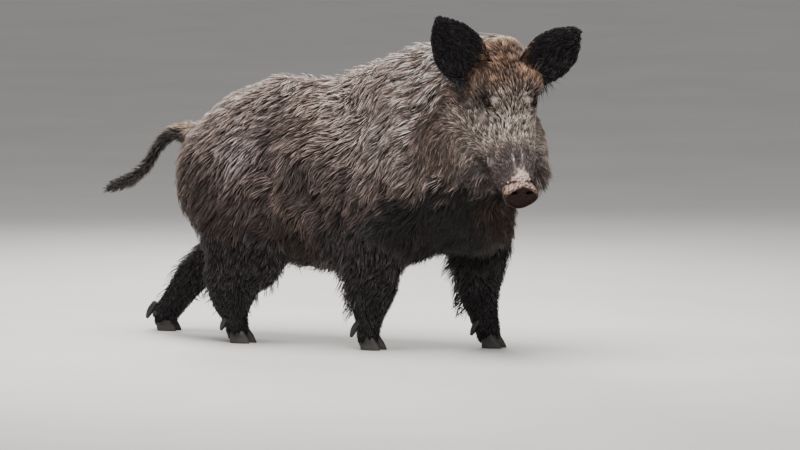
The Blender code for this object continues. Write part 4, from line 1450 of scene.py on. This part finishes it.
# %% Make the globes
def turned_grid(count_along, count_round):
    """Faces of a tube of rings whose last ring is drawn together to one point, the next in the list."""
    quads = []
    for row in range(count_along - 1):
        for k in range(count_round):
            a, b = row * count_round + k, row * count_round + (k + 1) % count_round
            quads.append((a, b, b + count_round, a + count_round))
    last = (count_along - 1) * count_round
    tris = [(last + k, last + (k + 1) % count_round, count_along * count_round) for k in range(count_round)]
    return quads, tris


def eye_finish():
    """Brown iris under a wet film."""
    material, shader, start = new_material(
        "wet_eye", Roughness=0.35, Specular_IOR_Level=0.12, Coat_Weight=0.28, Coat_Roughness=0.03
    )
    threads = 0.5 * grain(start, 900, 3, 0.5).step(0.3, 0.7)
    feed(threads.blend(attribute_colour(start, "tint"), (0.012, 0.006, 0.004, 1)), shader, "Base Color")
    return material


GLOBE_RADIUS = EYE_RADIUS * 0.985
CORNEA_SWELL = 0.055


def globe(side_name, finish):
    """One eye: rings from the back of the globe round to the pupil."""
    looks, corners, across = eye_frame(SIDES[side_name])
    rows, rounds = 30, 40
    angle = np.linspace(math.pi * 0.97, 0.03, rows)
    swell = 1 + CORNEA_SWELL * ease(angle, 0.75, 0.35)
    turn = np.linspace(0, 2 * math.pi, rounds, endpoint=False)
    ring = np.cos(turn)[:, None] * corners + np.sin(turn)[:, None] * across
    spots = np.cos(angle)[:, None, None] * looks + np.sin(angle)[:, None, None] * ring[None]
    spots = (spots * (GLOBE_RADIUS * swell)[:, None, None]).reshape(-1, 3)
    ends = np.array([looks * GLOBE_RADIUS * (1 + CORNEA_SWELL), -looks * GLOBE_RADIUS])
    quads, tris = turned_grid(rows, rounds)
    closing = [(k, rows * rounds + 1, (k + 1) % rounds) for k in range(rounds)]
    mesh = bpy.data.meshes.new("eye_" + side_name)
    places = np.concatenate([spots, ends]) + np.array(EYES[side_name])
    mesh.from_pydata(places.tolist(), [], quads + tris + closing)
    mesh.update()
    smooth(mesh)
    at_angle = np.append(np.repeat(angle, rounds), [0.0, math.pi])
    iris = ease(at_angle, 0.72, 0.62)[:, None]
    pupil = ease(at_angle, 0.30, 0.24)[:, None]
    colour = tone(30, 22, 20) * (1 - iris) + tone(44, 24, 14) * iris
    colour_points(mesh, colour * (1 - pupil) + tone(8, 6, 6) * pupil)
    mesh.materials.append(finish)
    eye = in_scene("wet_eye_" + side_name, mesh)
    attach(eye, "root")
    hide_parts("eye_" + side_name)


wet_eye = eye_finish()
for side_name in EYES:
    globe(side_name, wet_eye)
print("globes of", round(GLOBE_RADIUS * 1000, 1), "mm; the cornea swells by", CORNEA_SWELL)


# %% [markdown]
# ## Snout
# The rooting disc is a pad of gristle: a thick rolled rim, a peak at the top where the bare skin runs up on
# to the nose, two nostrils that open outward, and a furrow below them. A lathe can't make it, so rings run
# from behind the rim over its edge and in to the middle, and each point is pushed along the disc's own
# axis.

# %% The disc's own frame
SNOUT_TILT = math.radians(24)
DISC_AXIS = np.array(HEAD_ALONG * math.cos(SNOUT_TILT) + HEAD_OUT * math.sin(SNOUT_TILT))
DISC_UP = np.array(HEAD_OUT * math.cos(SNOUT_TILT) - HEAD_ALONG * math.sin(SNOUT_TILT))
DISC_SIDE = np.array(HEAD_LEFT)
carved = get_array(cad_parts["snout"].data.vertices, "co", 3)
HALF_WIDTH = np.ptp(carved @ DISC_SIDE) / 2
TALL = np.ptp(carved @ DISC_UP)
DISC_FRONT = (carved @ DISC_AXIS).max()
DISC_DEPTH = np.ptp(carved @ DISC_AXIS)
DISC_CENTRE = (
    DISC_SIDE * ((carved @ DISC_SIDE).max() - HALF_WIDTH)
    + DISC_UP * ((carved @ DISC_UP).max() - TALL * 0.48)
    + DISC_AXIS * DISC_FRONT
)
print("disc:", [round(float(v) * 1000) for v in (HALF_WIDTH * 2, TALL, DISC_DEPTH)], "mm wide, tall and deep")


# %% Shape the disc
NOSTRIL_WIDE, NOSTRIL_TALL = 0.0100, 0.0052


def disc_outline(turn):
    """How far the disc's edge lies from its middle, sideways and up, at an angle from its left side."""
    side, up = np.cos(turn), np.sin(turn)
    wide = HALF_WIDTH * (1 - 0.34 * np.clip(up, 0, 1) ** 1.6 - 0.30 * np.clip(-up, 0, 1) ** 2.2)
    tall = np.where(up > 0, TALL * 0.47, TALL * 0.52)
    return side * wide, up * tall * (1 + 0.10 * np.exp(-((side / 0.35) ** 2)) * (up > 0))


def disc_relief(x, y, rim):
    """How far a point of the disc's face stands forward of its rim, by its place across and up."""
    hole_x, hole_y = np.abs(x) - HALF_WIDTH * 0.43, y - TALL * 0.15
    hole = np.hypot((hole_x + 0.20 * hole_y) / NOSTRIL_WIDE, (hole_y - 0.15 * hole_x) / NOSTRIL_TALL)
    pad = -0.0035 * ease(rim, 0.95, 0.70) + 0.0022 * peak(rim, 0.88, 0.07)
    nostril = 0.0016 * peak(hole, 1.45, 0.30) - 0.0130 * ease(hole, 1.10, 0.62)
    furrow = 0.0014 * peak(x, 0, 0.0018) * ease(y, 0.006, -0.006) * ease(rim, 0.98, 0.85)
    ridge = 0.0012 * peak(x, 0, 0.007) * ease(rim, 0.9, 0.6)
    crease = 0.00035 * np.sin(np.arctan2(y, x) * 26 + 5 * np.sin(x * 400)) * ease(rim, 0.55, 0.9)
    return pad + nostril - furrow + ridge + crease, ease(hole, 1.15, 0.80)


def snout_finish():
    """Bare gristly skin: pebbled, damp on the pad and scurfy on top, with patches of soil."""
    material, shader, start = new_material("rooting_skin", Specular_IOR_Level=0.12)
    pebble = grain(start, 260, 4, 0.6)
    scurf = grain(start, 120, 5, 0.7).step(0.46, 0.60)
    tint = attribute_colour(start, "tint")
    soil = (0.55 * grain(start, 60, 4, 0.6).step(0.5, 0.7)).blend(tint, (0.030, 0.019, 0.014, 1))
    feed(soil.stained(1 - scurf, (0.42, 0.36, 0.35, 1)), shader, "Base Color")
    feed(0.42 + 0.35 * scurf, shader, "Roughness")
    feed(bump(start, pebble, 0.7, 0.0015), shader, "Normal")
    return material


# %% Rings of the disc
# A ring is its share of the disc's outline and its place along the axis. The rings of the face lie level.
WALL = [(0.80, -DISC_DEPTH), (0.90, -0.040), (0.93, -0.033), (0.95, -0.027), (0.97, -0.022), (0.985, -0.018)]
WALL += [(0.992, -0.015), (1.0, -0.012), (1.004, -0.010), (1.003, -0.0085), (1.0, -0.007)]
WALL += [(0.995, -0.005), (0.975, -0.0025), (0.95, -0.0015)]
FACE_LEVEL = -0.0012
FACE = [(rim, FACE_LEVEL) for rim in np.linspace(0.92, 0.02, 44)]
# The pad's own tone is a dark red-brown, and it is darkened further here as painted shade over the disc's
# face.
SHADED_PAD_TONE, RIM_TONE, CRUST_TONE, NOSTRIL_SHADE = (42, 23, 20), (150, 124, 115), (222, 192, 179), (16, 10, 9)
ROUNDS = 96


def disc_ring(rim, place, on_face):
    """The points and colours of one ring, crusted along the top."""
    edge_x, edge_y = disc_outline(np.linspace(0, 2 * math.pi, ROUNDS, endpoint=False))
    x, y = edge_x * rim, edge_y * rim
    relief, dark = disc_relief(x, y, rim) if on_face else (0 * x, 0 * x)
    ring = DISC_CENTRE + x[:, None] * DISC_SIDE + y[:, None] * DISC_UP + (place + relief)[:, None] * DISC_AXIS
    edge = ease(rim, 0.84, 0.95) if on_face else 1.0
    top = edge * ease(y / TALL + 0.05 * ripple(ring, 0.012, 36), 0.02, 0.28)
    crumbs = ripple(ring, 0.006, 35)
    crust = ease(crumbs, -0.6, 0.8)
    colour = tone(*SHADED_PAD_TONE) * np.ones((ROUNDS, 1))
    colour = dye(colour, 0.45 * edge * crust, tone(*RIM_TONE))
    colour = dye(colour, top * (0.35 + 0.65 * crust), tone(*CRUST_TONE))
    # Painted shade: the inside of each nostril is painted near black.
    colour = dye(colour, dark, tone(*NOSTRIL_SHADE))
    return ring + (0.0009 * top * crumbs)[:, None] * (DISC_AXIS + DISC_UP), colour


def rooting_disc():
    """The whole disc as one mesh of rings."""
    rings = [disc_ring(*row, False) for row in WALL] + [disc_ring(*row, True) for row in FACE]
    relief, _ = disc_relief(np.zeros(1), np.zeros(1), 0.0)
    centre = DISC_CENTRE[None] + (relief + FACE_LEVEL)[:, None] * DISC_AXIS
    rings.append((centre, tone(*SHADED_PAD_TONE)[None]))
    quads, tris = turned_grid(len(WALL + FACE), ROUNDS)
    mesh = bpy.data.meshes.new("rooting_disc")
    spots, tints = (np.concatenate(rows) for rows in zip(*rings))
    mesh.from_pydata(spots.tolist(), [], quads + tris + [tuple(range(ROUNDS))[::-1]])
    mesh.update()
    smooth(mesh)
    colour_points(mesh, tints)
    mesh.materials.append(snout_finish())
    disc = in_scene("rooting_disc", mesh)
    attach(disc, "root")
    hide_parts("snout")
    return disc


disc = rooting_disc()
print("disc:", len(disc.data.polygons), "faces")


# %% [markdown]
# ## Hooves, dewclaws and tusks
# These are horn and ivory, hard and clean edged, so each one is the carved solid drawn finer: welded,
# creased where its faces meet sharply, and subdivided. Modelling them again would only risk moving them.
# The growth rings and the worn, paler edge at the ground are in the finish.


# %% Redraw the hard pieces
FLAT, SQUARE = math.radians(20), math.radians(60)
CREASE = 0.85


def drawn_finer(node, name, finish, sharp=38):
    """A subdivided copy of a carved solid that keeps its sharp edges, standing in its place."""
    shape = welded(node)
    crease = shape.edges.layers.float.new("crease_edge")
    for edge in shape.edges:
        if len(edge.link_faces) == 2 and edge.calc_face_angle(0) > math.radians(sharp):
            edge[crease] = CREASE
    limits = {"angle_face_threshold": FLAT, "angle_shape_threshold": SQUARE}
    bmesh.ops.join_triangles(shape, faces=shape.faces, **limits)
    mesh = bpy.data.meshes.new(name)
    shape.to_mesh(mesh)
    shape.free()
    made = in_scene(name, mesh)
    finer = made.modifiers.new("finer", "SUBSURF")
    finer.levels = finer.render_levels = 2
    apply_modifiers(made)
    made.data.materials.append(finish)
    smooth(made.data)
    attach(made, "root")
    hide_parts(node)


def horn_finish():
    """Dark horn: rings round the claw, scratches down it, and a worn grey edge at the ground."""
    material, shader, start = new_material("dark_horn", Specular_IOR_Level=0.45)
    place = start.term(start.node("ShaderNodeTexCoord").outputs["Object"])
    up = start.term(start.node("ShaderNodeSeparateXYZ", None, Vector=place).outputs["Z"])
    wobble = grain(start, 40, 3, 0.5)
    bands = {"bands_direction": "Z"}
    wave = start.node("ShaderNodeTexWave", bands, Vector=place, Scale=55.0, Distortion=1.6, Detail=2.0)
    rings = start.term(wave.outputs["Fac"])
    streak = grain(start, 160, 4, 0.6, (1.0, 1.0, 0.16))
    worn = (0.016 - up + 0.012 * wobble).step(0.0, 0.014)
    base = streak.step(0.35, 0.75).blend((0.011, 0.010, 0.010, 1), (0.030, 0.025, 0.023, 1))
    feed((0.5 * worn).blend(base, (0.085, 0.074, 0.066, 1)), shader, "Base Color")
    feed(0.38 + 0.30 * worn + 0.12 * streak, shader, "Roughness")
    feed(bump(start, 0.6 * rings + 0.5 * streak, 0.5, 0.0010), shader, "Normal")
    return material


def ivory_finish():
    """Stained ivory: brown in patches and in the cracks that run up it, smoother where it is clean."""
    material, shader, start = new_material("stained_ivory", Specular_IOR_Level=0.55)
    crack = grain(start, 300, 4, 0.6, (1.0, 1.0, 0.25))
    stain = grain(start, 90, 3, 0.6).step(0.35, 0.70)
    base = stain.blend((0.27, 0.24, 0.19, 1), (0.15, 0.12, 0.09, 1))
    feed((0.7 * crack.step(0.58, 0.72)).blend(base, (0.10, 0.07, 0.045, 1)), shader, "Base Color")
    feed(0.28 + 0.30 * stain, shader, "Roughness")
    feed(bump(start, crack, 0.4, 0.0006), shader, "Normal")
    return material


dark_horn, stained_ivory = horn_finish(), ivory_finish()
for leg in LEGS:
    for claw in ("hoof", "inner_dewclaw", "outer_dewclaw"):
        drawn_finer(f"{leg}_{claw}", f"horn_{leg}_{claw}", dark_horn)
for side_name in TUSKS:
    drawn_finer("tusk_" + side_name, "ivory_tusk_" + side_name, stained_ivory, sharp=60)
print("hard pieces redrawn:", len(LEGS) * 3 + len(TUSKS))
